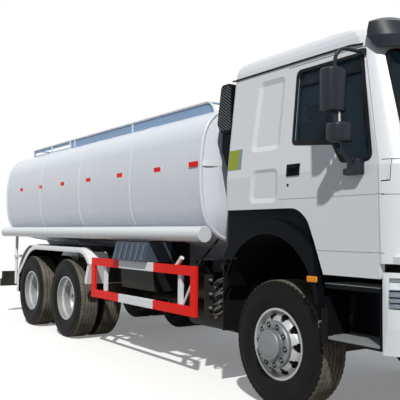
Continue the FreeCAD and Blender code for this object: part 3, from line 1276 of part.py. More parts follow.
for number, y in enumerate((-700, 0, 700)):
    visor_pieces.append(box("visor_bracket_%d" % number,
                            (at(s.cab_front_gutter) - 240, y - 20, s.cab_gutter + 30),
                            (at(s.cab_front_gutter) + 45, y + 20, s.cab_gutter + 60)))
node("sun_visor", cut("sun_visor_cut", fuse("sun_visor_set", visor_pieces), [cab_outer]))

# interior


def seat(name, side):
    """A plain seat with its back: side is +1 on the left, -1 on the right."""
    back_x = at(s.seat_back_at)
    y = side * s.seat_spacing / 2
    half = s.seat_width / 2
    floor = s.arch_top + wall + s.part_gap
    cushion = box("seat_cushion_" + name, (back_x, y - half, floor),
                  (back_x + s.seat_length, y + half, s.seat_top))
    back = box("seat_back_" + name, (back_x, y - half, s.seat_top - 120),
               (back_x + s.seat_back_wall, y + half, s.seat_back_top))
    return fuse("seat_" + name, [cushion, back])


node("seats", group("seat_set", [seat("right", -1), seat("left", 1)]))
dash = box("dashboard_solid", (at(s.dash_rear_at), -s.dash_half_width, s.dash_low),
           (at(s.dash_front_at), s.dash_half_width, s.dash_top))
node("dashboard", cut("dashboard_cut", dash, [cut("dash_walls", cab_outer, [cab_form(
    "dash_room", s.cab_wall + s.part_gap, 80, s.cab_wall)]), door_slab,
    mirrored("door_slab_left", door_slab)]))

steer_x = at(s.steering_at)
steer_y = s.steering_side
steer_z = s.steering_height
steer_rim = s.steering_radius
steer_bore = s.steering_radius - s.steering_grip
spoke = steer_bore + 8
column_low = steer_z - s.steering_column_length
steer = fuse("steering_wheel_solid", [
    cut("steer_rim", rod("steer_rim_outer", steer_rim, (steer_x, steer_y, steer_z - 4), "Z",
                         s.steering_grip + 2),
        [rod("steer_rim_inner", steer_bore, (steer_x, steer_y, steer_z - 20), "Z", 80)]),
    box("steer_spoke_cross", (steer_x - 18, steer_y - spoke, steer_z + 4),
        (steer_x + 18, steer_y + spoke, steer_z + 18)),
    box("steer_spoke_long", (steer_x - spoke, steer_y - 18, steer_z + 4),
        (steer_x + spoke, steer_y + 18, steer_z + 18)),
    rod("steer_hub", s.steering_hub_radius, (steer_x, steer_y, steer_z - 8), "Z", 40),
    rod("steer_column", s.steering_column_radius, (steer_x, steer_y, column_low), "Z",
        s.steering_column_length + 10),
    box("steer_bracket", (steer_x, steer_y - 30, column_low),
        (at(s.dash_rear_at) - s.part_gap, steer_y + 30, column_low + 70))])
node("steering_wheel", steer)

# air intake behind the cab

intake_front = at(s.cab_rear_at) - s.part_gap
intake = pad("air_intake_solid", "XZ", rounded([
    (intake_front, s.intake_low), (intake_front, s.intake_top), (at(s.cab_rear_at) - 165, s.intake_top),
    (at(s.cab_rear_at) - 226, s.intake_low + 95), (at(s.cab_rear_at) - 150, s.intake_low)],
    SIZES["intake_corner"]),
    -s.intake_out, -s.intake_out + s.intake_width)
duct = pad("air_duct", "XZ", rounded([
    (intake_front - 10, s.duct_low), (intake_front - 10, s.intake_low + 60),
    (at(s.cab_rear_at) - 190, s.intake_low + 60),
    (at(s.cab_rear_at) - 200, s.duct_low + 260), (at(s.cab_rear_at) - 70, s.duct_low)], 20),
    -s.intake_out + 40, -s.intake_out + 200)
node("air_intake", fuse("air_intake_set", [intake, duct]))

# Bumper, headlamps, steps

bumper_half = s.cab_half_low
bumper_nose = at(s.front_overhang)


def bumper_plan(inset, nose):
    wide = bumper_half - inset
    tip = nose - inset
    knee_x = tip - s.cab_nose_sweep
    knee_y = wide - s.cab_corner_width
    sweep = (knee_y * knee_y + s.cab_nose_sweep * s.cab_nose_sweep) / (2 * s.cab_nose_sweep)
    back = at(s.bumper_rear_at)
    return [
        (back, -wide), (knee_x - s.cab_corner_length, -wide, s.cab_corner_width * 1.35),
        (knee_x, -knee_y, sweep),
        (knee_x, knee_y, s.cab_corner_width * 1.35), (knee_x - s.cab_corner_length, wide), (back, wide)]


bumper_outer = lofted("bumper_outer", "XY", [
    (s.bumper_low, bumper_plan(value(0), bumper_nose - s.bumper_setback)),
    (s.bumper_low + 180, bumper_plan(value(0), bumper_nose)),
    (s.bumper_low + 330, bumper_plan(value(0), bumper_nose)),
    (s.bumper_top, bumper_plan(value(0), bumper_nose - s.bumper_setback))])
bumper_inner = pad("bumper_inner", "XY", bumper_plan(s.bumper_wall, bumper_nose - s.bumper_setback),
                   s.bumper_low - 50, s.bumper_top + 50)
bumper_shell = cut("bumper_shell", bumper_outer, [bumper_inner])
lamp_hole = box("lamp_hole", (at(s.lamp_rear_at), -s.cab_half_low - 60, s.lamp_low),
                (bumper_nose + 60, -s.lamp_inner, s.lamp_top))
lamp_slab = box("lamp_slab", (at(s.lamp_rear_at) + s.part_gap, -s.cab_half_low - 60, s.lamp_low + s.part_gap),
                (bumper_nose + 60, -s.lamp_inner - s.part_gap, s.lamp_top - s.part_gap))
low_slot = box("bumper_slot", (at(s.lamp_rear_at), -520, s.bumper_low + 70),
               (bumper_nose + 60, 520, s.bumper_low + 150))
bumper_mounts = []
for label, side in (("right", -1), ("left", 1)):
    y = side * spring_y
    bumper_mounts.append(box("bumper_mount_" + label,
                             (at(s.rail_front_at) + s.part_gap, y - 40, rail_low + 40),
                             (bumper_nose - s.bumper_setback - s.bumper_wall + 2, y + 40, s.frame_top - 100)))
bumper_cut = cut("bumper_cut", bumper_shell, [lamp_hole, mirrored("lamp_hole_left", lamp_hole), low_slot])
node("bumper", fuse("bumper_set", [bumper_cut] + bumper_mounts))
node("headlamps", pair("headlamp_pair", common("headlamp_right", [bumper_shell, lamp_slab])))

step_in = s.step_outer - s.step_depth
step_pieces = [
    box("step_lower", (at(s.step_rear_at), -s.step_outer, s.step_low),
        (at(s.step_front_at), -step_in, s.step_low + s.step_tread)),
    box("step_upper", (at(s.step_rear_at), -s.step_outer, s.step_top - s.step_tread),
        (at(s.step_front_at), -step_in, s.step_top)),
    box("step_back", (at(s.step_rear_at), -step_in - 20, s.step_low),
        (at(s.step_front_at), -step_in, s.step_top)),
    box("step_cheek", (at(s.step_rear_at) - 30, -s.step_outer - 5, s.step_low - 15),
        (at(s.step_rear_at) + 35, -s.step_outer + 50, s.step_low + 245)),
    box("step_end", (at(s.step_front_at) - 14, -s.step_outer, s.step_low),
        (at(s.step_front_at), -step_in, s.step_top)),
    box("step_arm", (at(s.step_front_at) - 160, -step_in - 10, rail_low + 60),
        (at(s.step_front_at) - 60, -rail_out - s.part_gap, rail_low + 160))]
node("steps", pair("step_pair", fuse("step_right", step_pieces)))

# flaps behind the front wheels

flap_x = at(s.flap_at)
flap = box("front_flap_sheet", (flap_x, -s.flap_outer, s.flap_low),
           (flap_x + s.flap_wall, -s.flap_inner, s.flap_top))
flap_arm = box("front_flap_arm", (flap_x - 40, -s.flap_outer + 10, s.flap_top - 60),
               (flap_x + 1, -rail_out - s.part_gap, s.flap_top - 10))
flap_foot = box("front_flap_foot", (flap_x - 40, -rail_out - 40, s.frame_top - 90),
                (flap_x, -rail_out - s.part_gap, s.flap_top - 50))
node("front_mudflaps", pair("mudflap_pair", fuse("front_flap_right", [flap, flap_arm, flap_foot])))

# Rear end

tail_x = at(-s.wheelbase - s.bogie_spread - s.rear_overhang)
bar = box("underrun_bar", (tail_x, -s.underrun_half_width, s.underrun_low),
          (tail_x + s.underrun_wall, s.underrun_half_width, s.underrun_low + s.underrun_height))
legs = []
for label, side in (("right", -1), ("left", 1)):
    legs.append(box("underrun_leg_" + label, (tail_x + 20, side * spring_y - 40, s.underrun_low + 20),
                    (at(s.rail_rear_at) - s.part_gap, side * spring_y + 40, s.frame_top)))
lamps = []
for label, side in (("right", -1), ("left", 1)):
    low_y = s.tail_lamp_inner if side > 0 else -s.tail_lamp_inner - s.tail_lamp_length
    lamps.append(box("tail_lamp_" + label, (tail_x, low_y, s.underrun_low + s.underrun_height - 1),
                     (tail_x + 60, low_y + s.tail_lamp_length,
                      s.underrun_low + s.underrun_height + s.tail_lamp_height)))
node("rear_underrun", fuse("underrun_set", [bar] + legs + lamps))

tank_end = fuse("tank_end", [tank_pieces[-1], tank_pieces[-3], barrel])
ladder_x = tank_rear - s.head_depth - 60
ladder_pieces = []
ladder_y = rail_out + 40
for label, y in (("a", ladder_y), ("b", ladder_y + s.ladder_width)):
    ladder_pieces.append(rod("ladder_stile_" + label, 16, (ladder_x, y, s.frame_top - 100), "Z",
                             s.ladder_length))
for number in range(SIZES["ladder_rung_count"]):
    z = s.frame_top + 60 + number * s.ladder_rung_pitch
    ladder_pieces.append(rod("ladder_rung_%d" % number, 12, (ladder_x, ladder_y, z), "Y", s.ladder_width))
for label, y in (("a", ladder_y), ("b", ladder_y + s.ladder_width)):
    ladder_pieces.append(box("ladder_stay_" + label, (ladder_x, y - 12, s.tank_middle + 400),
                             (tank_rear, y + 12, s.tank_middle + 424)))
node("rear_ladder", cut("ladder_set", fuse("ladder_blank", ladder_pieces), [tank_end]))

outlet_x = tank_rear - s.head_depth - 240
outlet_z = tank_bottom + 130
valve = fuse("outlet_blank", [
    rod("outlet_pipe", s.outlet_radius, (outlet_x, 0, outlet_z), "X", 400),
    rod("outlet_flange", s.outlet_flange_radius, (outlet_x - 10, 0, outlet_z), "X", 22)])
bore = rod("outlet_bore", s.outlet_bore_radius, (outlet_x - 20, 0, outlet_z), "X", 160)
node("outlet_valve", cut("outlet_set", valve, [bore, tank_end]))

# Tilt pivot at the front of the frame

bracket = box("tilt_bracket_plate", (at(s.rail_front_at) - 180, -rail_out - 20, s.frame_top - 110),
              (at(s.tilt_at) + 26, -rail_out - s.part_gap, s.tilt_height + 26))
bracket_pin = rod("tilt_pin", s.tilt_pin_radius, (at(s.tilt_at), -rail_out - 10, s.tilt_height), "Y", 100)
node("tilt_brackets", pair("tilt_bracket_pair", fuse("tilt_bracket_right", [bracket, bracket_pin])))

doc.recompute()
for thing in doc.Objects:
    if "Invalid" in thing.State or "Error" in thing.State:
        raise RuntimeError("%s: %s" % (thing.Name, thing.getStatusString()))

for made in nodes:
    shape = made.Shape
    if shape.isNull() or not shape.isValid() or not shape.Solids:
        raise RuntimeError("%s has no valid solid" % made.Label)
    shape.exportStep("parts/%s.step" % made.Label)
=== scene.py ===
import json
import math

import bmesh
import bpy
import numpy as np
from mathutils import Matrix, Vector


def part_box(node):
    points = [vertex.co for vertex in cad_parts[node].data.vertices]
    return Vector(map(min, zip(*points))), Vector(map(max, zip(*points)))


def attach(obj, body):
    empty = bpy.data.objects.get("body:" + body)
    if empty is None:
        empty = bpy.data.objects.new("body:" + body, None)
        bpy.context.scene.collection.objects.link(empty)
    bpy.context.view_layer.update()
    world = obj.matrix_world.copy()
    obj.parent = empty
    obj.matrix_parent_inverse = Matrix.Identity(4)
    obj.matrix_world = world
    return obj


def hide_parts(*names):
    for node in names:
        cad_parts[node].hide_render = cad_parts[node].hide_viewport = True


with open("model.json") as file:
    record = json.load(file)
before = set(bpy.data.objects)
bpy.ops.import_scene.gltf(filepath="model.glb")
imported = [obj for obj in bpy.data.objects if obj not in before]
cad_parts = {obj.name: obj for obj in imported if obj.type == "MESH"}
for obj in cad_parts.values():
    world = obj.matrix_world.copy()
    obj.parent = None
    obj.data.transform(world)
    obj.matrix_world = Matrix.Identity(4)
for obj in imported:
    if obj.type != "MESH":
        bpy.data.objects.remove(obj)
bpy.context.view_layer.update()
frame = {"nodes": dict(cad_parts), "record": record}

# The tanker truck's finish, in metres: +X forward, +Y left, +Z up, origin on the ground.
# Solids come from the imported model. Here they get their paint, rubber, metal and glass,
# and the fine pieces that the solids leave out. Places along the truck are given as the
# distance ahead of the front axle.

NODES = frame["nodes"]
SIDES = {"right": -1, "left": 1}


def middle(node):
    """Middle of a node's box as an array."""
    low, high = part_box(node)
    return (np.array(low) + np.array(high)) / 2


def corners(node):
    """Lowest and highest corner of a node's box as arrays."""
    low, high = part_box(node)
    return np.array(low), np.array(high)


FRONT_X = middle("front_tyre_right")[0]


def at(distance):
    """X of a place given as its distance ahead of the front axle."""
    return FRONT_X + distance


# Finishes: shared node groups

def new_group(name, inputs, outputs):
    """A shader node group with named sockets; inputs are (name, kind, default)."""
    tree = bpy.data.node_groups.new(name, "ShaderNodeTree")
    for label, kind, default in inputs:
        socket = tree.interface.new_socket(label, in_out="INPUT", socket_type="NodeSocket" + kind)
        socket.default_value = default
    for label, kind in outputs:
        tree.interface.new_socket(label, in_out="OUTPUT", socket_type="NodeSocket" + kind)
    return tree, tree.nodes.new("NodeGroupInput"), tree.nodes.new("NodeGroupOutput")


def math_node(tree, operation, first, second=0.0, third=0.0, clamp=False):
    """One Math node; each operand is a number or a socket."""
    node = tree.nodes.new("ShaderNodeMath")
    node.operation = operation
    node.use_clamp = clamp
    for socket, item in zip(node.inputs, (first, second, third)):
        if isinstance(item, (int, float)):
            socket.default_value = item
        else:
            tree.links.new(item, socket)
    return node.outputs[0]


NOISE_ROUGHNESS = 0.55


def noise_node(tree, scale, detail, stretch=(1, 1, 1)):
    """Noise on Object coordinates, stretched along the axes."""
    place = tree.nodes.new("ShaderNodeTexCoord")
    shape = tree.nodes.new("ShaderNodeMapping")
    shape.inputs["Scale"].default_value = stretch
    tree.links.new(place.outputs["Object"], shape.inputs["Vector"])
    noise = tree.nodes.new("ShaderNodeTexNoise")
    noise.inputs["Scale"].default_value = scale
    noise.inputs["Detail"].default_value = detail
    noise.inputs["Roughness"].default_value = NOISE_ROUGHNESS
    tree.links.new(shape.outputs["Vector"], noise.inputs["Vector"])
    return noise.outputs["Fac"]


def place_node(tree):
    """X, Y and Z of the Object coordinates."""
    place = tree.nodes.new("ShaderNodeTexCoord")
    split = tree.nodes.new("ShaderNodeSeparateXYZ")
    tree.links.new(place.outputs["Object"], split.inputs[0])
    return split.outputs


def mixed(tree, share, first, second):
    """Colour mixed from two, by a share."""
    node = tree.nodes.new("ShaderNodeMix")
    node.data_type = "RGBA"
    sockets = (node.inputs["Factor"], node.inputs["A"], node.inputs["B"])
    for socket, item in zip(sockets, (share, first, second)):
        if isinstance(item, (int, float, tuple)):
            socket.default_value = item
        else:
            tree.links.new(item, socket)
    return node.outputs["Result"]


COLOUR_IN = ("Colour", "Color", (0.8, 0.8, 0.8, 1))
COLOUR_OUT = ("Colour", "Color")


def cover_up(tree, given, out, share, other):
    """Send on a group's colour, covered with its other colour by the share times the amount."""
    share = math_node(tree, "MULTIPLY", share, given.outputs["Amount"], clamp=True)
    tree.links.new(mixed(tree, share, given.outputs["Colour"], given.outputs[other]), out.inputs["Colour"])
    return share


def build_road_dust():
    """Dust that is thick near the road and thins out with height, in soft patches: the share is
    (patches + grain) times nearness to the road times the amount."""
    tree, given, out = new_group(
        "road_dust",
        [COLOUR_IN, ("Dust", "Color", (0.30, 0.26, 0.20, 1)), ("Amount", "Float", 0.3),
         ("Top", "Float", 1.2), ("Roughness", "Float", 0.4)],
        [COLOUR_OUT, ("Roughness", "Float")])
    height = math_node(tree, "DIVIDE", place_node(tree)["Z"], given.outputs["Top"])
    nearness = math_node(tree, "SUBTRACT", 1.15, height, clamp=True)
    patches = math_node(tree, "MULTIPLY_ADD", noise_node(tree, 5.5, 5.0), 2.2, -0.55)
    grain = math_node(tree, "MULTIPLY", noise_node(tree, 60.0, 2.0), 0.5)
    share = math_node(tree, "MULTIPLY", math_node(tree, "ADD", patches, grain), nearness, clamp=True)
    share = cover_up(tree, given, out, share, "Dust")
    dull = math_node(tree, "MULTIPLY_ADD", share, 0.5, given.outputs["Roughness"])
    tree.links.new(dull, out.inputs["Roughness"])
    return tree


def build_tone_drift():
    """A colour that drifts a little lighter and darker over large soft patches: it is scaled by
    1 + depth times centred noise."""
    tree, given, out = new_group("tone_drift", [COLOUR_IN, ("Depth", "Float", 0.06)], [COLOUR_OUT])
    fine = math_node(tree, "MULTIPLY", noise_node(tree, 14.0, 3.0), 0.4)
    both = math_node(tree, "ADD", noise_node(tree, 1.6, 4.0), fine)
    centred = math_node(tree, "SUBTRACT", both, 0.7)
    gain = math_node(tree, "MULTIPLY", centred, given.outputs["Depth"])
    scale = tree.nodes.new("ShaderNodeVectorMath")
    scale.operation = "SCALE"
    tree.links.new(given.outputs["Colour"], scale.inputs[0])
    tree.links.new(math_node(tree, "ADD", gain, 1.0), scale.inputs["Scale"])
    tree.links.new(scale.outputs[0], out.inputs["Colour"])
    return tree


def build_grain_height():
    """Height of a fine pebbled grain, for moulded plastic, rubber and cast iron."""
    tree, given, out = new_group("grain_height", [("Depth", "Float", 1.0)], [("Height", "Float")])
    coarse = math_node(tree, "MULTIPLY", noise_node(tree, 40.0, 3.0), 0.6)
    both = math_node(tree, "ADD", noise_node(tree, 260.0, 2.0), coarse)
    tree.links.new(math_node(tree, "MULTIPLY", both, given.outputs["Depth"]), out.inputs["Height"])
    return tree


def build_panel_waves():
    """Height of the slow waves in rolled sheet, with the finer peel of sprayed paint."""
    tree, given, out = new_group("panel_waves", [("Depth", "Float", 1.0)], [("Height", "Float")])
    waves = noise_node(tree, 1.3, 2.0, stretch=(1.0, 1.0, 0.35))
    peel = math_node(tree, "MULTIPLY", noise_node(tree, 90.0, 2.0), 0.012)
    both = math_node(tree, "ADD", waves, peel)
    tree.links.new(math_node(tree, "MULTIPLY", both, given.outputs["Depth"]), out.inputs["Height"])
    return tree


def build_runs_of_dirt_and_reflection():
    """Faint runs down a panel, of dirt, and on the tank of painted reflection for the blotchy vertical
    reflections on its gloss: noise drawn out along Z, broken up by soft patches.
    """
    tree, given, out = new_group(
        "streaks_dirt_and_painted_reflection",
        [COLOUR_IN, ("Streak", "Color", (0.36, 0.33, 0.29, 1)), ("Amount", "Float", 0.3)], [COLOUR_OUT])
    drawn = noise_node(tree, 9.0, 4.0, stretch=(1.0, 1.0, 0.05))
    runs = math_node(tree, "MULTIPLY", math_node(tree, "SUBTRACT", drawn, 0.46, clamp=True), 5.0)
    patches = math_node(tree, "SUBTRACT", noise_node(tree, 0.9, 3.0), 0.25, clamp=True)
    cover_up(tree, given, out, math_node(tree, "MULTIPLY", runs, patches, clamp=True), "Streak")
    return tree


def build_paint_chips():
    """Small chips down to brown primer, where fine noise peaks inside rougher patches."""
    tree, given, out = new_group(
        "paint_chips",
        [COLOUR_IN, ("Under", "Color", (0.10, 0.06, 0.045, 1)), ("Amount", "Float", 0.5)], [COLOUR_OUT])
    patches = math_node(tree, "MULTIPLY", noise_node(tree, 3.0, 2.0), 0.35)
    peak = math_node(tree, "ADD", noise_node(tree, 55.0, 4.0), patches)
    share = math_node(tree, "MULTIPLY", math_node(tree, "SUBTRACT", peak, 0.86), 18.0, clamp=True)
    cover_up(tree, given, out, share, "Under")
    return tree


def build_low_tone():
    """One colour where the distance from the middle plane is beyond Reach and the height beyond
    Height, and another elsewhere."""
    tree, given, out = new_group(
        "low_tone",
        [COLOUR_IN, ("Other", "Color", (0.01, 0.01, 0.01, 1)), ("Reach", "Float", 0.9),
         ("Height", "Float", 1.0)], [COLOUR_OUT])
    place = place_node(tree)
    outward = math_node(tree, "ABSOLUTE", place["Y"])
    outer = math_node(tree, "GREATER_THAN", outward, given.outputs["Reach"])
    upper = math_node(tree, "GREATER_THAN", place["Z"], given.outputs["Height"])
    share = math_node(tree, "MULTIPLY", outer, upper)
    tree.links.new(mixed(tree, share, given.outputs["Other"], given.outputs["Colour"]), out.inputs["Colour"])
    return tree


GROUPS = {
    "dust": build_road_dust(),
    "streaks": build_runs_of_dirt_and_reflection(),
    "chips": build_paint_chips(),
    "drift": build_tone_drift(),
    "grain": build_grain_height(),
    "waves": build_panel_waves(),
    "low_tone": build_low_tone(),
}


def use_group(tree, key, **values):
    """A copy of a group in a material, with its own values."""
    node = tree.nodes.new("ShaderNodeGroup")
    node.node_tree = GROUPS[key]
    for label, item in values.items():
        node.inputs[label].default_value = item
    return node


# Finishes: materials

EARTH_DUST = (0.30, 0.26, 0.20, 1)
# Grey that the tank's paint takes in soft patches, thicker towards the bottom and gone by 2.4 m.
TANK_LOW_GREY = (0.50, 0.48, 0.44, 1)
TYRE_DUST = (0.14, 0.128, 0.11, 1)
TREAD_DUST = (0.22, 0.20, 0.165, 1)
COVER_DUST = (0.20, 0.185, 0.165, 1)
RIM_DUST = (0.30, 0.28, 0.25, 1)
STEP_DUST = (0.27, 0.25, 0.22, 1)
COAT_ROUGHNESS = 0.08
BUMP_STRENGTH = 0.6


def finish(name, colour, roughness, drift, metallic=0.0, coat=0.0, dust=0.0, dust_top=1.2,
           relief="grain", relief_distance=0.0004, dust_colour=EARTH_DUST, specular=0.5, streaks=0.0,
           chips=0.0, low_tone=None):
    """An opaque surface: a drifting colour under streaks (dirt, and on the tank painted reflection), chips
    and road dust, with a relief of grain or waves. low_tone is (reach, height) of the part that keeps the
    colour."""
    made = bpy.data.materials.new(name)
    made.use_nodes = True
    tree = made.node_tree
    shader = tree.nodes["Principled BSDF"]
    shader.inputs["Metallic"].default_value = metallic
    shader.inputs["Coat Weight"].default_value = coat
    shader.inputs["Coat Roughness"].default_value = COAT_ROUGHNESS
    shader.inputs["Specular IOR Level"].default_value = specular
    colour_from = use_group(tree, "drift", Colour=(*colour, 1), Depth=drift).outputs["Colour"]
    worn = []
    if low_tone:
        worn.append(use_group(tree, "low_tone", Reach=low_tone[0], Height=low_tone[1]))
    if streaks:
        worn.append(use_group(tree, "streaks", Amount=streaks))
    if chips:
        worn.append(use_group(tree, "chips", Amount=chips))
    worn.append(use_group(tree, "dust", Amount=dust, Top=dust_top, Roughness=roughness, Dust=dust_colour))
    for layer in worn:
        tree.links.new(colour_from, layer.inputs["Colour"])
        colour_from = layer.outputs["Colour"]
    tree.links.new(colour_from, shader.inputs["Base Color"])
    tree.links.new(worn[-1].outputs["Roughness"], shader.inputs["Roughness"])
    bump = tree.nodes.new("ShaderNodeBump")
    bump.inputs["Distance"].default_value = relief_distance
    bump.inputs["Strength"].default_value = BUMP_STRENGTH
    tree.links.new(use_group(tree, relief).outputs["Height"], bump.inputs["Height"])
    tree.links.new(bump.outputs["Normal"], shader.inputs["Normal"])
    made.diffuse_color = (*colour, 1)
    return made


def clear(name, colour, roughness, transmission, ior):
    """Glass or a lens: plain values on the shader's own sockets."""
    made = bpy.data.materials.new(name)
    made.use_nodes = True
    shader = made.node_tree.nodes["Principled BSDF"]
    shader.inputs["Base Color"].default_value = (*colour, 1)
    shader.inputs["Roughness"].default_value = roughness
    shader.inputs["Transmission Weight"].default_value = transmission
    shader.inputs["IOR"].default_value = ior
    made.diffuse_color = (*colour, 1)
    return made


FINISHES = {
    "white_paint": finish(
        "white_gloss_paint", (0.70, 0.73, 0.775), 0.34, coat=0.12, dust=0.08, dust_top=1.6, drift=0.05,
        relief="waves", relief_distance=0.003, streaks=0.10),
    # The tank's streaks are painted reflection, standing in for the blotchy vertical reflections on its
    # gloss.
    "tank_paint": finish(
        "tank_gloss_paint", (0.70, 0.745, 0.82), 0.38, coat=0.12, dust=0.12, dust_top=2.4, drift=0.10,
        relief="waves", relief_distance=0.012, dust_colour=TANK_LOW_GREY, streaks=0.14),
    # Painted light: the rear mudguards' white is brighter than the white paint elsewhere, standing in for
    # sunlight that the tank and hose tubes shade from them.
    "mudguard_painted_light_white": finish(
        "mudguard_paint_with_painted_light", (0.84, 0.86, 0.88), 0.4, dust=0.10, dust_top=1.4, drift=0.08),
    "red_paint": finish(
        "guard_red_paint", (0.84, 0.012, 0.007), 0.42, dust=0.03, drift=0.08, relief="waves",
        relief_distance=0.002, specular=0.12, chips=0.7),
    # The coaming plate's blue grey is painted shade: the plate is white, coloured as it looks in shade under
    # the sky.
    "coaming_painted_shade": finish(
        "coaming_blue_grey_painted_shade", (0.26, 0.38, 0.56), 0.45, drift=0.12, relief="waves",
        relief_distance=0.003, specular=0.15, streaks=0.2),
    "chassis_paint": finish(
        "chassis_black_paint", (0.012, 0.012, 0.013), 0.5, dust=0.16, drift=0.2, specular=0.12),
    "engine_paint": finish(
        "engine_grey_paint", (0.07, 0.078, 0.078), 0.5, metallic=0.2, dust=0.3, drift=0.2),
    "cover_paint": finish(
        "wheel_cover_paint", (0.205, 0.23, 0.245), 0.38, metallic=0.5, dust=0.25, drift=0.08,
        relief_distance=0.0002, dust_colour=COVER_DUST),
    "wheel_paint": finish(
        "silver_wheel_paint", (0.47, 0.485, 0.49), 0.36, metallic=0.55, dust=0.22, drift=0.06,
        relief_distance=0.0002, dust_colour=RIM_DUST),
    "black_plastic": finish(
        "moulded_black_plastic", (0.0035, 0.005, 0.0075), 0.42, dust=0.02, dust_top=1.4, drift=0.15,
        specular=0.05),
    "smooth_black": finish(
        "satin_black_plastic", (0.011, 0.016, 0.024), 0.36, dust=0.03, dust_top=3.0, drift=0.12,
        specular=0.25, relief_distance=0.0001),
    "grey_plastic": finish(
        "slate_grey_plastic", (0.046, 0.060, 0.082), 0.5, dust=0.10, dust_top=1.6, drift=0.10,
        specular=0.15),
    "battery_plastic": finish(
        "battery_cover_plastic", (0.060, 0.080, 0.110), 0.5, dust=0.04, dust_top=1.6, drift=0.10,
        specular=0.12, low_tone=(0.93, 1.132)),
    "tyre": finish(
        "tyre_rubber", (0.006, 0.0065, 0.007), 0.58, dust=0.05, dust_top=1.6, drift=0.2,
        dust_colour=TYRE_DUST, specular=0.08),
    "tread": finish(
        "dusty_tread_rubber", (0.045, 0.042, 0.038), 0.8, dust=0.85, dust_top=2.2, drift=0.25,
        dust_colour=TREAD_DUST, specular=0.1),
    "rubber": finish("seal_rubber", (0.008, 0.008, 0.009), 0.55, drift=0.1, specular=0.12),
    "line_grey": finish(
        "dusty_line_grey", (0.09, 0.095, 0.105), 0.6, dust=0.3, dust_top=1.6, drift=0.3, specular=0.2),
    "axle_iron": finish(
        "cast_axle_iron", (0.025, 0.024, 0.023), 0.6, dust=0.30, drift=0.25, relief_distance=0.0012,
        specular=0.15),
    "aluminium": finish(
        "ribbed_aluminium", (0.50, 0.51, 0.52), 0.34, metallic=0.9, dust=0.3, dust_top=1.4, drift=0.06,
        relief_distance=0.0002),
    "step_metal": finish(
        "dusty_step_metal", (0.20, 0.23, 0.25), 0.5, metallic=0.3, dust=0.6, dust_top=1.6, drift=0.15,
        dust_colour=STEP_DUST),
    "chrome": finish(
        "bright_metal", (0.72, 0.73, 0.75), 0.12, metallic=1.0, drift=0.02, relief_distance=0.00005),
    "lamp_silver": finish(
        "lamp_silver", (0.20, 0.225, 0.26), 0.22, metallic=0.85, drift=0.9, relief_distance=0.001),
    "mirror_face": finish(
        "mirror_silver", (0.80, 0.81, 0.83), 0.04, metallic=1.0, drift=0.0, relief_distance=0.00001),
    "mesh_grey": finish("mesh_dark_grey", (0.105, 0.115, 0.125), 0.5, drift=0.15, specular=0.2),
    # Near black: painted shade in holes, recesses and under sheets, and also used for the lamp bars.
    "black_and_painted_shade": finish("near_black_with_painted_shade", (0.004, 0.004, 0.005), 0.8, drift=0.1, specular=0.05),
    "seat_fabric": finish(
        "seat_cloth", (0.055, 0.058, 0.066), 0.9, drift=0.15, relief_distance=0.0012, specular=0.2),
    "strip_white": finish(
        "reflective_white", (0.74, 0.775, 0.81), 0.4, drift=0.06, relief_distance=0.0001),
    "label_green": finish(
        "label_yellow_green", (0.25, 0.31, 0.008), 0.45, drift=0.12, relief_distance=0.0001),
    "label_grey": finish(
        "label_blue_grey", (0.20, 0.26, 0.32), 0.45, drift=0.12, relief_distance=0.0001),
    "glass": clear("tinted_glass", (0.16, 0.25, 0.31), 0.01, 0.95, 1.14),
    "lens_clear": clear("lamp_lens_clear", (0.94, 0.95, 0.96), 0.02, 1.0, 1.2),
    "lens_amber": clear("lamp_lens_amber", (0.85, 0.26, 0.01), 0.2, 0.0, 1.3),
    "lens_red": clear("lamp_lens_red", (0.45, 0.006, 0.006), 0.2, 0.0, 1.3),
}

# A node's finish goes by its slot in the record, apart from these.
NODE_FINISH = {
    "tank_shell": "tank_paint", "tank_saddles": "tank_paint", "top_coaming": "coaming_painted_shade",
    "rear_underrun": "chassis_paint", "rear_mudguards": "mudguard_painted_light_white", "dashboard": "black_plastic",
    "battery_box": "battery_plastic", "sun_visor": "smooth_black"}
SLOT_FINISH = {"red_white_paint": "red_paint", "lamp_glass": "lens_clear"}
SLOT_OF_NODE = {part["node"]: part["material_slot"] for part in frame["record"]["subparts"]}


def dress_nodes():
    """Give every CAD node its finish."""
    for name, thing in NODES.items():
        slot = SLOT_OF_NODE[name]
        key = NODE_FINISH.get(name, SLOT_FINISH.get(slot, slot))
        thing.data.materials.clear()
        thing.data.materials.append(FINISHES[key])


dress_nodes()

# Forms worked out as whole arrays: each is (points, faces)


def quads_of(rows, columns, wrap_rows, wrap_columns):
    """Quads between neighbours on a grid of points, closed round where it wraps."""
    index = np.arange(rows * columns).reshape(rows, columns)
    if wrap_rows:
        index = np.vstack([index, index[:1]])
    if wrap_columns:
        index = np.hstack([index, index[:, :1]])
    square = np.stack([index[:-1, :-1], index[1:, :-1], index[1:, 1:], index[:-1, 1:]], axis=-1)
    return square.reshape(-1, 4)


def grid_form(grid, wrap_rows=False, wrap_columns=False):
    """A form from a (rows, columns, 3) grid of points."""
    rows, columns = grid.shape[:2]
    return grid.reshape(-1, 3), quads_of(rows, columns, wrap_rows, wrap_columns)


def joined(forms):
    """Several forms as one."""
    points = []
    faces = []
    start = 0
    for form_points, form_faces in forms:
        points.append(form_points)
        faces.append(form_faces + start)
        start += len(form_points)
    return np.vstack(points), np.vstack(faces)


def copies(form, moves):
    """The form repeated under each 4x4 matrix of an array of moves."""
    points, faces = form
    homogeneous = np.hstack([points, np.ones((len(points), 1))])
    spread = np.einsum("kij,nj->kni", moves, homogeneous)[:, :, :3]
    shifted = faces[None] + (np.arange(len(moves)) * len(points))[:, None, None]
    return spread.reshape(-1, 3), shifted.reshape(-1, 4)


def shifts(offsets):
    """Moves by a list of offsets."""
    moves = np.tile(np.eye(4), (len(offsets), 1, 1))
    moves[:, :3, 3] = offsets
    return moves


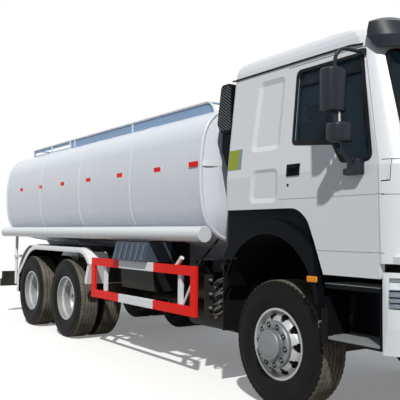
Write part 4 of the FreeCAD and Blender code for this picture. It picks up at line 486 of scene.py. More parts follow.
def turns_about_y(angles, centre):
    """Moves that turn about an axle through centre, along Y."""
    moves = np.tile(np.eye(4), (len(angles), 1, 1))
    moves[:, 0, 0] = np.cos(angles)
    moves[:, 0, 2] = np.sin(angles)
    moves[:, 2, 0] = -np.sin(angles)
    moves[:, 2, 2] = np.cos(angles)
    moves[:, :3, 3] = centre - np.einsum("kij,j->ki", moves[:, :3, :3], centre)
    return moves


def across(form):
    """The form mirrored to the other side of the truck."""
    points, faces = form
    return points * np.array([1, -1, 1]), faces[:, ::-1]


def both_sides(form):
    """The form with its mirror image on the other side."""
    return joined([form, across(form)])


def circle(radius, sides):
    """Points evenly round 0,0, anticlockwise."""
    angles = np.linspace(0, 2 * math.pi, sides, endpoint=False)
    return np.stack([np.cos(angles), np.sin(angles)], axis=-1) * radius


def rounded_outline(width, height, radius, steps):
    """A rectangle about 0,0 with quarter-circle corners, anticlockwise."""
    angles = np.linspace(0, math.pi / 2, steps)
    quarter = np.stack([np.cos(angles), np.sin(angles)], axis=-1) * radius
    parts = []
    for turn, (x, y) in enumerate(((1, 1), (-1, 1), (-1, -1), (1, -1))):
        cos = math.cos(turn * math.pi / 2)
        sin = math.sin(turn * math.pi / 2)
        spun = quarter @ np.array([[cos, sin], [-sin, cos]])
        parts.append(spun + np.array([x * (width / 2 - radius), y * (height / 2 - radius)]))
    return np.vstack(parts)


# A box is at least this many times as large as the chamfer on its edges
CHAMFER_ROOM = 2.2
# For an axis: where an outline's two coordinates and the level along the axis go
AXES = {"X": (1, 2, 0), "Y": (2, 0, 1), "Z": (0, 1, 2)}


def prism(outline, low, high, axis, chamfer, steps=1):
    """A flat outline carried from low to high along an axis. Near each end it is drawn in by the
    chamfer times 1 - sin(t) while it moves on by the chamfer times 1 - cos(t), a quarter turn."""
    outline = np.asarray(outline, float)
    centre = outline.mean(axis=0)
    span = np.abs(outline - centre).max(axis=0)
    way = chamfer if high > low else -chamfer
    drawn = []
    for turn in np.linspace(0, math.pi / 2, steps + 1):
        flat = centre + (outline - centre) * (1 - chamfer * (1 - math.sin(turn)) / span)
        drawn.append((flat, way * (1 - math.cos(turn))))
    rows = [(centre + 0 * outline, low)] + [(flat, low + lift) for flat, lift in drawn]
    rows += [(flat, high - lift) for flat, lift in drawn[::-1]] + [(centre + 0 * outline, high)]
    grid = np.zeros((len(rows), len(outline), 3))
    first, second, third = AXES[axis]
    for row, (flat, level) in enumerate(rows):
        grid[row, :, first] = flat[:, 0]
        grid[row, :, second] = flat[:, 1]
        grid[row, :, third] = level
    return grid_form(grid, wrap_columns=True)


def block(low, high, chamfer):
    """A box between two corners with chamfered edges all round."""
    low = np.asarray(low, float)
    high = np.asarray(high, float)
    size = high - low
    chamfer = np.minimum(chamfer, size / CHAMFER_ROOM)
    flat = rounded_outline(size[0], size[1], min(chamfer[:2]), 2)
    return prism(flat + (low[:2] + high[:2]) / 2, low[2], high[2], "Z", chamfer[2])


def turned(profile, centre, steps, axis="Y"):
    """A closed (radius, height) profile turned about an axis through centre."""
    profile = np.asarray(profile, float)
    angles = np.linspace(0, 2 * math.pi, steps, endpoint=False)
    grid = np.zeros((steps, len(profile), 3))
    first, second, third = AXES[axis]
    grid[:, :, first] = np.cos(angles)[:, None] * profile[:, 0]
    grid[:, :, second] = np.sin(angles)[:, None] * profile[:, 0]
    grid[:, :, third] = profile[:, 1]
    return grid_form(grid + np.asarray(centre), wrap_rows=True, wrap_columns=True)


def carried(outline, path, up, closed=False):
    """An outline carried along a path of points, square to it: its first axis lies along the
    cross product of up and the way ahead, and its second is square to both, nearest to up."""
    path = np.asarray(path, float)
    outline = np.asarray(outline, float)
    if closed:
        ahead = np.roll(path, -1, axis=0) - np.roll(path, 1, axis=0)
    else:
        ahead = np.gradient(path, axis=0)
    ahead /= np.linalg.norm(ahead, axis=1, keepdims=True)
    side = np.cross(np.asarray(up, float), ahead)
    side /= np.linalg.norm(side, axis=1, keepdims=True)
    top = np.cross(ahead, side)
    grid = path[:, None] + side[:, None] * outline[None, :, :1] + top[:, None] * outline[None, :, 1:]
    if closed:
        return grid_form(grid, wrap_rows=True, wrap_columns=True)
    start = np.repeat(path[:1, None], len(outline), axis=1)
    end = np.repeat(path[-1:, None], len(outline), axis=1)
    return grid_form(np.concatenate([start, grid, end]), wrap_columns=True)


def band(section, path, closed=False, up=(0, 0, 1)):
    """A rounded rectangle, (width, height, radius, steps), carried along a path."""
    return carried(rounded_outline(*section), path, up, closed)


BEND_STEPS = 6
CORNER_STEPS = 7


def bent(points, reach):
    """A path through points whose corners are quadratic curves that start and end a given reach
    from the corner: (1-s)^2 start + 2s(1-s) corner + s^2 end."""
    points = np.asarray(points, float)
    path = [points[0]]
    share = np.linspace(0, 1, BEND_STEPS)[:, None]
    for before, corner, after in zip(points[:-2], points[1:-1], points[2:]):
        back = before - corner
        on = after - corner
        start = corner + back * min(reach / np.linalg.norm(back), 0.5)
        end = corner + on * min(reach / np.linalg.norm(on), 0.5)
        path.extend((1 - share) ** 2 * start + 2 * share * (1 - share) * corner + share ** 2 * end)
    path.append(points[-1])
    return np.array(path)


def closed_bend(points, radius):
    """A closed path through points with corners of about the radius: each is the same quadratic
    curve, and reaches back by radius times the tangent of half its turn."""
    points = np.asarray(points, float)
    share = np.linspace(0, 1, CORNER_STEPS)[None, :, None]
    back = np.roll(points, 1, axis=0) - points
    on = np.roll(points, -1, axis=0) - points
    back_length = np.linalg.norm(back, axis=1)
    on_length = np.linalg.norm(on, axis=1)
    cosine = -(back * on).sum(axis=1) / back_length / on_length
    reach = radius * np.tan(np.arccos(np.clip(cosine, -0.99, 0.9999)) / 2)
    start = (points + back * np.minimum(reach / back_length, 0.45)[:, None])[:, None]
    end = (points + on * np.minimum(reach / on_length, 0.45)[:, None])[:, None]
    curve = (1 - share) ** 2 * start + 2 * share * (1 - share) * points[:, None] + share ** 2 * end
    return curve.reshape(-1, points.shape[1])


def pipe(points, radius, bend, sides, up=(0, 0, 1)):
    """A round bar along a path with rounded corners."""
    return carried(circle(radius, sides), bent(points, bend), up)


def resampled(path, step, closed=False):
    """Evenly spaced points along a path, by linear steps along its length."""
    path = np.asarray(path, float)
    if closed:
        path = np.vstack([path, path[:1]])
    legs = np.linalg.norm(np.diff(path, axis=0), axis=1)
    along = np.concatenate([[0.0], np.cumsum(legs)])
    places = np.linspace(0, along[-1], max(2, int(round(along[-1] / step)) + 1))
    out = np.stack([np.interp(places, along, column) for column in path.T], axis=-1)
    return out[:-1] if closed else out


PILLOW_ROWS = 28
PILLOW_COLUMNS = 44


def pillow(low, high, power):
    """A superellipsoid in a box: half size times sign(c)|c|^power of a sphere's cosines and sines."""
    low = np.asarray(low, float)
    high = np.asarray(high, float)
    rise, turn = np.meshgrid(np.linspace(-math.pi / 2, math.pi / 2, PILLOW_ROWS),
                             np.linspace(0, 2 * math.pi, PILLOW_COLUMNS, endpoint=False), indexing="ij")
    unit = np.stack([np.cos(turn), np.sin(turn), np.sin(rise)], axis=-1)
    grid = np.sign(unit) * np.abs(unit) ** power
    grid[..., :2] *= np.abs(np.cos(rise))[..., None] ** power
    grid[[0, -1], :, :2] = 0
    return grid_form((low + high) / 2 + grid * (high - low) / 2, wrap_columns=True)


def crowned(form, depth):
    """The form drawn in by a share of its size where two sewn channels cross it: the share is the
    depth times exp(-((|y| - 0.45) / 0.05)^2), with y as a share of the half width."""
    points, faces = form
    centre = (points.min(axis=0) + points.max(axis=0)) / 2
    half = (points.max(axis=0) - points.min(axis=0)) / 2
    side_place = (points[:, 1] - centre[1]) / half[1]
    groove = np.exp(-((np.abs(side_place) - 0.45) / 0.05) ** 2)[:, None]
    pulled = points.copy()
    pulled[:, [0, 2]] = centre[[0, 2]] + (points[:, [0, 2]] - centre[[0, 2]]) * (1 - depth * groove)
    return pulled, faces


MERGE_WITHIN = 1e-5


def piece(name, form, key, body, replaces=(), crease=35, second=None):
    """Make a form a piece: its mesh, finish and body. second is (key, mask over the faces)."""
    points, faces = form
    mesh = bpy.data.meshes.new(name)
    mesh.from_pydata(points.tolist(), [], faces.tolist())
    mesh.materials.append(FINISHES[key])
    if second:
        mesh.materials.append(FINISHES[second[0]])
        mesh.polygons.foreach_set("material_index", np.asarray(second[1], dtype=np.int32))
    work = bmesh.new()
    work.from_mesh(mesh)
    bmesh.ops.remove_doubles(work, verts=work.verts, dist=MERGE_WITHIN)
    bmesh.ops.dissolve_degenerate(work, edges=work.edges, dist=MERGE_WITHIN / 10)
    bmesh.ops.recalc_face_normals(work, faces=work.faces)
    work.to_mesh(mesh)
    work.free()
    mesh.shade_smooth()
    mesh.set_sharp_from_angle(angle=math.radians(crease))
    made = bpy.data.objects.new(name, mesh)
    bpy.context.scene.collection.objects.link(made)
    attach(made, body)
    if replaces:
        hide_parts(*replaces)
    return made


def on_each_side(name, form, key, body):
    """A right-hand form as two pieces, the body's name ending in the side."""
    for side, sign in SIDES.items():
        piece(name + "_" + side, form if sign < 0 else across(form), key, body + "_" + side)


def on_both_sides(name, forms, key, body="chassis"):
    """Right-hand forms and their mirror images as one piece."""
    piece(name, both_sides(joined(forms)), key, body)


def placed(points):
    """Points that start with a distance ahead of the front axle, in the truck's frame."""
    return np.asarray(points, float) + [FRONT_X, 0, 0]


def slab(x, y, z, chamfer=0.003):
    """A chamfered box from (low, high) pairs; x is the distance ahead of the front axle."""
    return block((at(x[0]), y[0], z[0]), (at(x[1]), y[1], z[1]), chamfer)


def arc(centre, radius, turn):
    """Flat points on an arc: centre + radius times (cos turn, sin turn)."""
    return np.stack([centre[0] + radius * np.cos(turn), centre[1] + radius * np.sin(turn)], axis=-1)


def upright(flat, y):
    """Flat points (distance ahead of the axle, height) stood up in the plane at y."""
    return np.stack([at(flat[:, 0]), np.full(len(flat), y), flat[:, 1]], axis=-1)


# Tyres

TYRE_STEPS = 180
# Turns a twin wheel's two tyres apart, so that their notches don't line up
TWIN_PHASE = 0.05
# Flank from the bead outwards: radius, and distance in from the tyre's side
TYRE_FLANK = (
    (0.290, 0.036), (0.296, 0.030), (0.306, 0.025), (0.318, 0.018), (0.330, 0.014), (0.334, 0.016),
    (0.352, 0.006), (0.380, 0.001), (0.410, 0.0), (0.440, 0.003), (0.452, 0.002), (0.456, 0.006),
    (0.476, 0.010), (0.494, 0.016), (0.500, 0.013), (0.512, 0.014), (0.524, 0.020))
# Grooves on each half, by the distance of their middles from the tyre's
GROOVES = (0.066, 0.022)
GROOVE_DEPTH = 0.015
ZIGZAG_REACH = 0.0035
ZIGZAG_COUNT = 45
NOTCH_DEPTH = 0.006
NOTCH_COUNT = 60
# Radius beyond which the road's dust stays
TREAD_FROM = 0.527


def width(node):
    """How wide a node's box is."""
    low, high = corners(node)
    return high[1] - low[1]


def tyre_profile():
    """A tyre's closed section as (radius, distance from its middle), and its radius: bead, flank,
    shoulder and two grooves on each half."""
    low, high = corners("front_tyre_right")
    radius = (high[2] - low[2]) / 2
    half = width("front_tyre_right") / 2
    right = [(place, half - inset) for place, inset in TYRE_FLANK]
    right += [(radius - 0.003, half - 0.026), (radius, half - 0.034), (radius, 0.095),
              (radius - 0.001, 0.088)]
    for groove in GROOVES:
        right += [(radius, groove + 0.0065), (radius - GROOVE_DEPTH, groove + 0.0045),
                  (radius - GROOVE_DEPTH, groove - 0.0045), (radius, groove - 0.0065)]
    right = np.array(right)
    return np.vstack([right, (right * [1, -1])[::-1], [(0.288, -0.05), (0.288, 0.05)]]), radius


def tyre_form(centre, phase=0.0):
    """The section turned about the axle. A triangle wave of the angle shifts the groove edges
    sideways, and notches lower the shoulders: three times a sine of the angle, less 1.8, kept
    between 0 and 1."""
    profile, radius = tyre_profile()
    angles = np.linspace(0, 2 * math.pi, TYRE_STEPS, endpoint=False) + phase
    groove = (np.abs(profile[:, 1]) < 0.075) & (profile[:, 0] > radius - 0.02)
    zigzag = ZIGZAG_REACH * (2 * np.abs((angles * ZIGZAG_COUNT / math.pi) % 2 - 1) - 1)
    across_y = profile[None, :, 1] + zigzag[:, None] * groove[None, :]
    shoulder = (profile[:, 0] > radius - 0.012) & (np.abs(profile[:, 1]) > 0.11)
    notch = np.clip(3 * np.sin(angles * NOTCH_COUNT) - 1.8, 0, 1)
    radii = profile[None, :, 0] - NOTCH_DEPTH * notch[:, None] * shoulder[None, :]
    grid = np.stack([np.cos(angles)[:, None] * radii, across_y, np.sin(angles)[:, None] * radii], axis=-1)
    return grid_form(grid + centre, wrap_rows=True, wrap_columns=True)


def tyre_piece(node, forms, body):
    """The tyres of one wheel as one piece, its tread in a dusty finish of its own."""
    points, faces = joined(forms)
    middles = points[faces].mean(axis=1) - middle(node)
    tread = np.hypot(middles[:, 0], middles[:, 2]) > TREAD_FROM
    piece("ribbed_" + node, (points, faces), "tyre", body, [node], 50, ("tread", tread))


def tyres():
    """One detailed tyre for each wheel; a twin wheel's two are one piece."""
    for side in SIDES:
        front = "front_tyre_" + side
        tyre_piece(front, [tyre_form(middle(front))], "front_wheel_" + side)
        for axle in ("mid", "rear"):
            node = "twin_tyres_%s_%s" % (axle, side)
            reach = width(node) / 2 - width(front) / 2
            pair = [tyre_form(middle(node) + [0, way * reach, 0], TWIN_PHASE * way) for way in (-1, 1)]
            tyre_piece(node, pair, "%s_wheels_%s" % (axle, side))


tyres()

# Wheel trim

# The front cover's section: radius, and distance out from the wheel's middle
COVER = np.array([
    (0.0, 0.140), (0.197, 0.140), (0.198, 0.152), (0.195, 0.172), (0.190, 0.181), (0.183, 0.186),
    (0.172, 0.1875), (0.138, 0.1905), (0.1345, 0.1885), (0.1315, 0.1885), (0.1295, 0.191),
    (0.1285, 0.222), (0.1265, 0.231), (0.1215, 0.2365), (0.108, 0.2405), (0.105, 0.2385),
    (0.102, 0.2385), (0.099, 0.2410), (0.070, 0.2465), (0.0, 0.2475)])
NUT_ANGLES = np.linspace(0, 2 * math.pi, 10, endpoint=False)
FRONT_NUT_TURN = 0.10
FRONT_NUT_CIRCLE = 0.1645
TWIN_NUT_CIRCLE = 0.1425


def nut_on(place, face, sign, nut, bolt, chamfer):
    """A hexagonal nut and the round end of its bolt; each is (radius, how far it stands out)."""
    return [prism(circle(radius, sides) + place, face, face + sign * out, "Y", chamfer)
            for (radius, out), sides in ((nut, 6), (bolt, 10))]


def front_cover(side, sign):
    """A domed silver cover over the front wheel's disc, with ten lipped recesses and a nut in each,
    and ten oval hand holes round it. The recesses' floors and the hand holes are painted shade: near-black
    discs and plates."""
    centre = middle("front_tyre_" + side)
    body = "front_wheel_" + side
    out = np.array([1, sign])
    turns = turns_about_y(NUT_ANGLES + FRONT_NUT_TURN, centre)
    spot = centre + [FRONT_NUT_CIRCLE, 0, 0]
    lip = np.array([(0.0235, 0.184), (0.0275, 0.184), (0.0275, 0.1895), (0.0262, 0.1915),
                    (0.0245, 0.1915), (0.0235, 0.1890)])
    cover = joined([turned(COVER * out, centre, 72), copies(turned(lip * out, spot, 20), turns)])
    piece("wheel_cover_" + side, cover, "cover_paint", body)
    well = np.array([(0.0, 0.184), (0.0237, 0.184), (0.0237, 0.1906), (0.0, 0.1906)])
    plate = prism(circle(1.0, 20) * [0.026, 0.037], -0.002, 0.0025, "Z", 0.001)
    # A hand hole is painted shade: a thin near-black plate turned to lie on the slope of the wheel's disc
    to_slope = np.array([[0.620, -0.785 * sign, 0.0], [0.0, 0.0, 1.0], [0.785, 0.620 * sign, 0.0]])
    hand_hole = (plate[0] @ to_slope + centre + [0.2385, sign * 0.1067, 0.0], plate[1])
    dark = joined([copies(turned(well * out, spot, 20), turns),
                   copies(hand_hole, turns_about_y(NUT_ANGLES, centre))])
    piece("cover_hole_shade_" + side, dark, "black_and_painted_shade", body)
    nut = nut_on([spot[2], spot[0]], centre[1] + sign * 0.186, sign, (0.0120, 0.010), (0.0065, 0.014), 0.0015)
    piece("front_nuts_" + side, copies(joined(nut), turns), "cover_paint", body)


def wheel_trim():
    """Covers on the front wheels; ten nuts on their circle and a valve on each twin wheel."""
    for side, sign in SIDES.items():
        front_cover(side, sign)
        for axle in ("mid", "rear"):
            hub = middle("twin_tyres_%s_%s" % (axle, side))
            seat = hub[1] + sign * 0.018
            place = [hub[2], hub[0] + TWIN_NUT_CIRCLE]
            nut = nut_on(place, seat, sign, (0.017, 0.024), (0.010, 0.050), 0.002)
            valve = pipe([(hub[0] + 0.262, seat + sign * 0.02, hub[2]),
                          (hub[0] + 0.235, seat + sign * 0.10, hub[2])], 0.005, 0.01, 8)
            form = joined([copies(joined(nut), turns_about_y(NUT_ANGLES, hub)), valve])
            piece("twin_nuts_%s_%s" % (axle, side), form, "axle_iron", "%s_wheels_%s" % (axle, side))


wheel_trim()

# Tank: strips, end beads, coaming's trim and manhole

STRIP_PLACES = (-1.12, -1.85, -2.73, -3.61, -4.48, -5.34, -6.20)
STRIP_HEIGHT = 2.14
STRIP_HALF = 0.025
TANK_Z = 2.055
TANK_HALF = 1.230
SIDE_RADIUS = 1.9
WALK_Z = 2.846


def tank_flank(height, stand=0.0):
    """Half width of the tank's side at a height: an arc about a point at the tank's middle height."""
    return TANK_HALF - SIDE_RADIUS + math.sqrt(SIDE_RADIUS ** 2 - (height - TANK_Z) ** 2) + stand


def tank_section(x, grow):
    """The tank's outline at x: side, corner and crown arcs of radii 1.9, 0.4 and 3.6 m that touch,
    mirrored to all four quarters and spaced evenly."""
    low = math.radians(10.65)
    high = math.radians(75.45)
    arcs = (((-0.670, 0.0), SIDE_RADIUS, 0.0, low), ((0.8041, 0.2773), 0.4, low, high),
            ((0.0, -2.82), 3.6, high, math.pi / 2))
    quarter = np.vstack([arc(centre, radius + grow, np.linspace(start, end, 12))
                         for centre, radius, start, end in arcs])
    half = np.vstack([quarter, quarter[::-1] * [-1, 1]])
    flat = resampled(np.vstack([half, -half]), 0.045, closed=True)
    return np.stack([np.full(len(flat), x), flat[:, 0], flat[:, 1] + TANK_Z], axis=-1)


def tank_strips():
    """Short reflective strips along both sides of the tank, red with a white front end; the first
    one's white goes on round the front ring onto the head."""
    red = []
    white = []
    for number, place in enumerate(STRIP_PLACES):
        on_ring = number == 0
        reach = tank_flank(STRIP_HEIGHT, 0.011 if on_ring else 0.0012)
        rear = -0.105 if on_ring else -0.075
        for start, end, store in ((rear, 0.065, red), (0.065, 0.10, white)):
            store.append(slab((place + start, place + end), (-reach - 0.0012, -reach + 0.003),
                              (STRIP_HEIGHT - STRIP_HALF, STRIP_HEIGHT + STRIP_HALF), 0.0008))
    angles = np.radians([0, 5, 10, 16, 23, 32])
    wrap = np.stack([at(-1.030 + 0.13 * np.sin(angles)),
                     -tank_flank(STRIP_HEIGHT) * 0.985 * np.cos(angles) - 0.002,
                     np.full(6, STRIP_HEIGHT)], axis=-1)
    white.append(band((0.0016, 2 * STRIP_HALF, 0.0005, 2), wrap))
    on_both_sides("tank_strips_red", red, "red_paint")
    on_both_sides("tank_strips_white", white, "strip_white")


def tank_beads():
    """Rolled beads round the tank's two ends and end caps on the hose tubes."""
    rings = [carried(circle(0.022, 12), tank_section(at(x), -0.010), closed=True, up=(1, 0, 0))
             for x in (-1.042, -6.938)]
    cap = np.array([(0.0, -0.004), (0.0795, -0.004), (0.0815, -0.001), (0.0815, 0.010), (0.078, 0.014),
                    (0.0, 0.0145)])
    ends = [turned(cap * [1, way], (at(x), -1.19, 1.447), 40, "X") for x, way in ((-1.012, 1), (-7.078, -1))]
    piece("tank_end_beads", joined(rings), "tank_paint", "chassis", crease=60)
    on_both_sides("hose_tube_caps", ends, "white_paint")


def coaming_trim():
    """White pipe along the coaming's top edge, its upright edges, and ribs on the walkway."""
    rail = pipe(placed([(-6.64, -0.872, 2.735), (-6.64, -0.872, 2.855), (-1.385, -0.872, 2.855),
                        (-1.312, -0.872, 2.785), (-1.287, -0.872, 2.725)]), 0.0135, 0.06, 8, up=(0, 1, 0))
    low_rail = slab((-6.62, -5.05), (-0.882, -0.862), (2.722, 2.742))
    posts = [slab((x - 0.012, x + 0.012), (-0.886, -0.862), (2.730, 2.850))
             for x in (-3.08, -4.90, -5.06, -5.82)]
    on_both_sides("coaming_rail", [rail, low_rail] + posts, "white_paint")
    walk = []
    rib = block((-0.006, -0.20, -0.002), (0.006, 0.20, 0.003), 0.001)
    for start, end in ((-6.55, -4.45), (-3.50, -1.45)):
        walk.append(slab((start, end), (-0.22, 0.22), (WALK_Z - 0.020, WALK_Z)))
        places = np.arange(start + 0.05, end - 0.03, 0.06)
        walk.append(copies(rib, shifts(np.stack([at(places), 0 * places, 0 * places + WALK_Z], axis=-1))))
    piece("walkway_ribs", joined(walk), "aluminium", "chassis")


def manhole_clamps():
    """Swing bolts with wing nuts round the manhole, clear of the lid: one turned about Z."""
    bolt = pipe([(0.303, 0, 2.82), (0.303, 0, 2.93), (0.303, 0, 2.984)], 0.007, 0.01, 8, up=(0, 1, 0))
    clamp = joined([bolt, block((0.294, -0.028, 2.962), (0.318, 0.028, 2.972), 0.003),
                    block((0.252, -0.012, 2.868), (0.312, 0.012, 2.880), 0.003)])
    angles = np.radians([75, 120, 165, 195, 240, 285])
    moves = shifts(np.tile([at(-3.99), 0.0, 0.0], (6, 1)))
    moves[:, 0, 0] = moves[:, 1, 1] = np.cos(angles)
    moves[:, 1, 0] = np.sin(angles)
    moves[:, 0, 1] = -np.sin(angles)
    piece("manhole_clamps", copies(clamp, moves), "aluminium", "chassis")


tank_strips()
tank_beads()
coaming_trim()
manhole_clamps()

# Cab trim

# Half width of the cab and reach of its front at four heights
CAB_LEVELS = np.array([(1.154, 1.225, 1.470), (1.950, 1.230, 1.445), (2.880, 1.130, 1.195),
                       (2.940, 1.119, 1.165)])
# The nose in plan: its wide sweep ends KNEE_IN from the side and has fallen back by KNEE_BACK.
# There it meets a corner arc, whose centre lies CORNER_IN and CORNER_BACK from that point. The
# last value keeps the roots just inside the arc's radius.
KNEE_IN = 0.200
KNEE_BACK = 0.110
CORNER_RADIUS = 0.27
CORNER_IN = 0.0599
CORNER_BACK = 0.2633
CORNER_REACH = 0.2699
WINDOW = np.array([(0.252, 2.190), (0.700, 2.145), (0.800, 1.998), (1.078, 1.990), (0.925, 2.797),
                   (0.242, 2.797)])
WINDOW_MIDDLE = (0.62, 2.43)
# Middle of the wheel arch: distance ahead of the axle, and height
ARCH = (-0.022, 0.885)
LAMP_FRONT = 1.478
LAMP_HALF = 1.215
INTAKE_LOW = 2.43
INTAKE_HIGH = 2.85
MIRROR_Y = -1.389
GUTTER_LINE = ((-0.64, 2.884), (-0.2, 2.884), (0.3, 2.884), (0.80, 2.882), (0.92, 2.868))


def cab_half(height):
    """Half width of the cab at a height."""
    return np.interp(height, CAB_LEVELS[:, 0], CAB_LEVELS[:, 1])


def cab_front(height):
    """How far ahead of the axle the cab's front stands at a height."""
    return np.interp(height, CAB_LEVELS[:, 0], CAB_LEVELS[:, 2])


def plan_x(y, front, wide):
    """Distance ahead of the axle of a nose whose plan is a wide sweep between two corner arcs."""
    knee = wide - KNEE_IN
    sweep = (knee ** 2 + KNEE_BACK ** 2) / (2 * KNEE_BACK)
    y = np.abs(y)
    middle_part = front - sweep + np.sqrt(sweep ** 2 - np.minimum(y, knee) ** 2)
    reach = np.clip(y - knee + CORNER_IN, 0, CORNER_REACH)
    corner = front - KNEE_BACK - CORNER_BACK + np.sqrt(CORNER_RADIUS ** 2 - reach ** 2)
    return np.where(y <= knee, middle_part, corner)


def side_y(x, z):
    """Half width of the cab's side or front corner at a distance ahead of the axle and a height: the
    same corner arc, solved for its other coordinate."""
    wide = cab_half(z)
    knee = cab_front(z) - KNEE_BACK
    ahead = np.clip(x - knee + CORNER_BACK, 0.0733, CORNER_REACH)
    corner = wide - KNEE_IN - CORNER_IN + np.sqrt(CORNER_RADIUS ** 2 - ahead ** 2)
    return np.where(x < knee - 0.190, wide, corner)


def on_front(points, stand):
    """Points (y, height) laid on the cab's front."""
    y, z = np.asarray(points, float).T
    return np.stack([at(plan_x(y, cab_front(z), cab_half(z)) + stand), y, z], axis=-1)


def on_side(points, stand=0.0):
    """Points (distance ahead of the axle, height) laid on the cab's right side."""
    x, z = np.asarray(points, float).T
    return np.stack([at(x), -(cab_half(z) + stand), z], axis=-1)


def side_patch(x, z, thick=0.0016, stand=0.0006):
    """A thin plate between (low, high) pairs that lies on the cab's right side."""
    where = (x[0] + x[1]) / 2
    path = on_side([(where, z[0]), (where, (z[0] + z[1]) / 2), (where, z[1])], stand)
    return band((x[1] - x[0], thick, thick / 3, 2), path, up=(0, -1, 0))


def window_seals():
    """A flat rubber frame that rounds each door window, and the bar of its vent pane."""
    inner = closed_bend(WINDOW + np.sign(WINDOW_MIDDLE - WINDOW) * 0.004, 0.040)
    seal = band((0.030, 0.010, 0.003, 3), on_side(inner), closed=True, up=(0, -1, 0.1))
    bar = band((0.012, 0.022, 0.003, 3), on_side([(x, 2.673) for x in (0.27, 0.60, 0.935)], -0.012))
    on_each_side("window_seal", joined([seal, bar]), "rubber", "door")


def door_handles():
    """A black handle plate with its grip, a lock below, and painted shade in near black in the dip under the
    grip.
    """
    plate = side_patch((0.204, 0.357), (1.926, 2.022), 0.010, 0.002)
    grip = side_patch((0.222, 0.340), (1.985, 2.008), 0.014, 0.012)
    lock = turned([(0.0, -0.004), (0.011, -0.004), (0.011, 0.003), (0.008, 0.005), (0.0, 0.005)],
                  (at(0.222), -cab_half(1.855), 1.855), 16)
    on_each_side("door_handle", joined([plate, grip, lock]), "black_plastic", "door")
    dip = side_patch((0.232, 0.330), (1.938, 1.978), 0.004, 0.0062)
    on_each_side("handle_dip_shade", dip, "black_and_painted_shade", "door")


def side_label():
    """A blank two-coloured label behind the right-hand door."""
    for tone, x in (("green", (-0.594, -0.449)), ("grey", (-0.449, -0.403))):
        piece("side_label_" + tone, side_patch(x, (2.030, 2.215)), "label_" + tone, "cab")


def windscreen_trim():
    """A rubber seal that follows the windscreen's edge, and two parked wipers."""
    hole = closed_bend([(-1.100, 2.120), (1.100, 2.120), (1.050, 2.815), (-1.050, 2.815)], 0.07)
    inward = hole - (hole - [0, 2.4675]) * [0.012, 0.03]
    forms = [band((0.034, 0.012, 0.004, 3), on_front(resampled(inward, 0.05, True), 0.002), closed=True,
                  up=(1, 0, 0.27))]
    for pivot, tip in ((-0.22, 0.62), (-0.98, -0.16)):
        root, mid = on_front([(pivot, 2.065), ((pivot + tip) / 2, 2.165)], 0.022)
        blade = on_front(np.linspace((pivot + 0.12, 2.150), (tip, 2.190), 9), 0.012)
        forms.append(pipe([root - [0.03, 0, 0], root, mid], 0.008, 0.02, 8))
        forms.append(band((0.010, 0.026, 0.003, 3), blade))
    piece("windscreen_seal", joined(forms), "rubber", "cab")


def flare_trim():
    """A bead on the arch's lip, painted shade over the wheel as a near-black vault with its inner wall,
    and an amber side lamp on each flare. All but the lamp are arcs about the arch's middle."""
    bead = upright(arc(ARCH, 0.577, np.radians(np.linspace(172, 8, 60))), -1.243)
    on_both_sides("flare_beads", [carried(circle(0.009, 8), bead, up=(0, 1, 0))], "black_plastic",
                  "cab")
    turn = np.radians(np.linspace(170, 10, 40))
    vault = np.stack([upright(arc(ARCH, radius, turn), y)
                      for radius, y in ((0.568, -1.215), (0.568, -0.60), (0.560, -0.60), (0.560, -1.215))],
                     axis=1)
    ends = [np.repeat(vault[:1].mean(axis=1, keepdims=True), 4, axis=1), vault,
            np.repeat(vault[-1:].mean(axis=1, keepdims=True), 4, axis=1)]
    wall = arc(ARCH, 0.564, turn)
    wall = np.stack([wall[:, 1], at(wall[:, 0])], axis=-1)
    arch_shade = [grid_form(np.concatenate(ends), wrap_columns=True), prism(wall, -0.604, -0.596, "Y", 0.001)]
    on_both_sides("arch_shade_vaults", arch_shade, "black_and_painted_shade", "cab")
    spot = [1.114, at(0.5245)]
    bed = prism(rounded_outline(0.056, 0.122, 0.012, 4) + spot, -1.238, -1.254, "Y", 0.003)
    lens = prism(rounded_outline(0.046, 0.110, 0.010, 4) + spot, -1.250, -1.262, "Y", 0.004)
    on_both_sides("side_lamp_beds", [bed], "black_plastic", "cab")
    on_both_sides("side_lamps", [lens], "lens_amber", "cab")


def step_trim():
    """Chequered treads on the cab's steps, whose bars lean one way and the other by turns, a front
    edge on each, and a cheek behind the lower one."""
    treads = []
    pitch = 0.026
    bar = block((-0.009, -0.003, -0.001), (0.009, 0.003, 0.0025), 0.001)
    lean = np.array([[0.7071, -0.7071, 0], [0.7071, 0.7071, 0], [0, 0, 1]])
    for level, inner, outer in ((0.687, -0.885, -1.195), (1.085, -0.93, -1.190)):
        treads.append(slab((0.600, 1.125), (outer, inner), (level, level + 0.004), 0.001))
        x, y = np.meshgrid(np.arange(0.615, 1.115, pitch), np.arange(outer + 0.012, inner - 0.008, pitch))
        spots = np.stack([at(x.ravel()), y.ravel(), np.full(x.size, level + 0.004)], axis=-1)
        even = (np.round(x / pitch) + np.round(y / pitch)).ravel() % 2 < 0.5
        treads.append(copies((bar[0] @ lean, bar[1]), shifts(spots[even])))
        treads.append(copies((bar[0] @ lean.T, bar[1]), shifts(spots[~even])))
        treads.append(slab((0.600, 1.125), (outer - 0.006, outer + 0.002),
                           (level - 0.016, level + 0.005), 0.002))
    on_both_sides("step_treads", treads, "step_metal")
    cheek = prism([(0.690, at(0.601)), (0.690, at(0.613)), (0.985, at(0.613)), (0.985, at(0.601))],
                  -1.196, -0.930, "Y", 0.002)
    on_both_sides("step_cheeks", [cheek], "black_plastic")


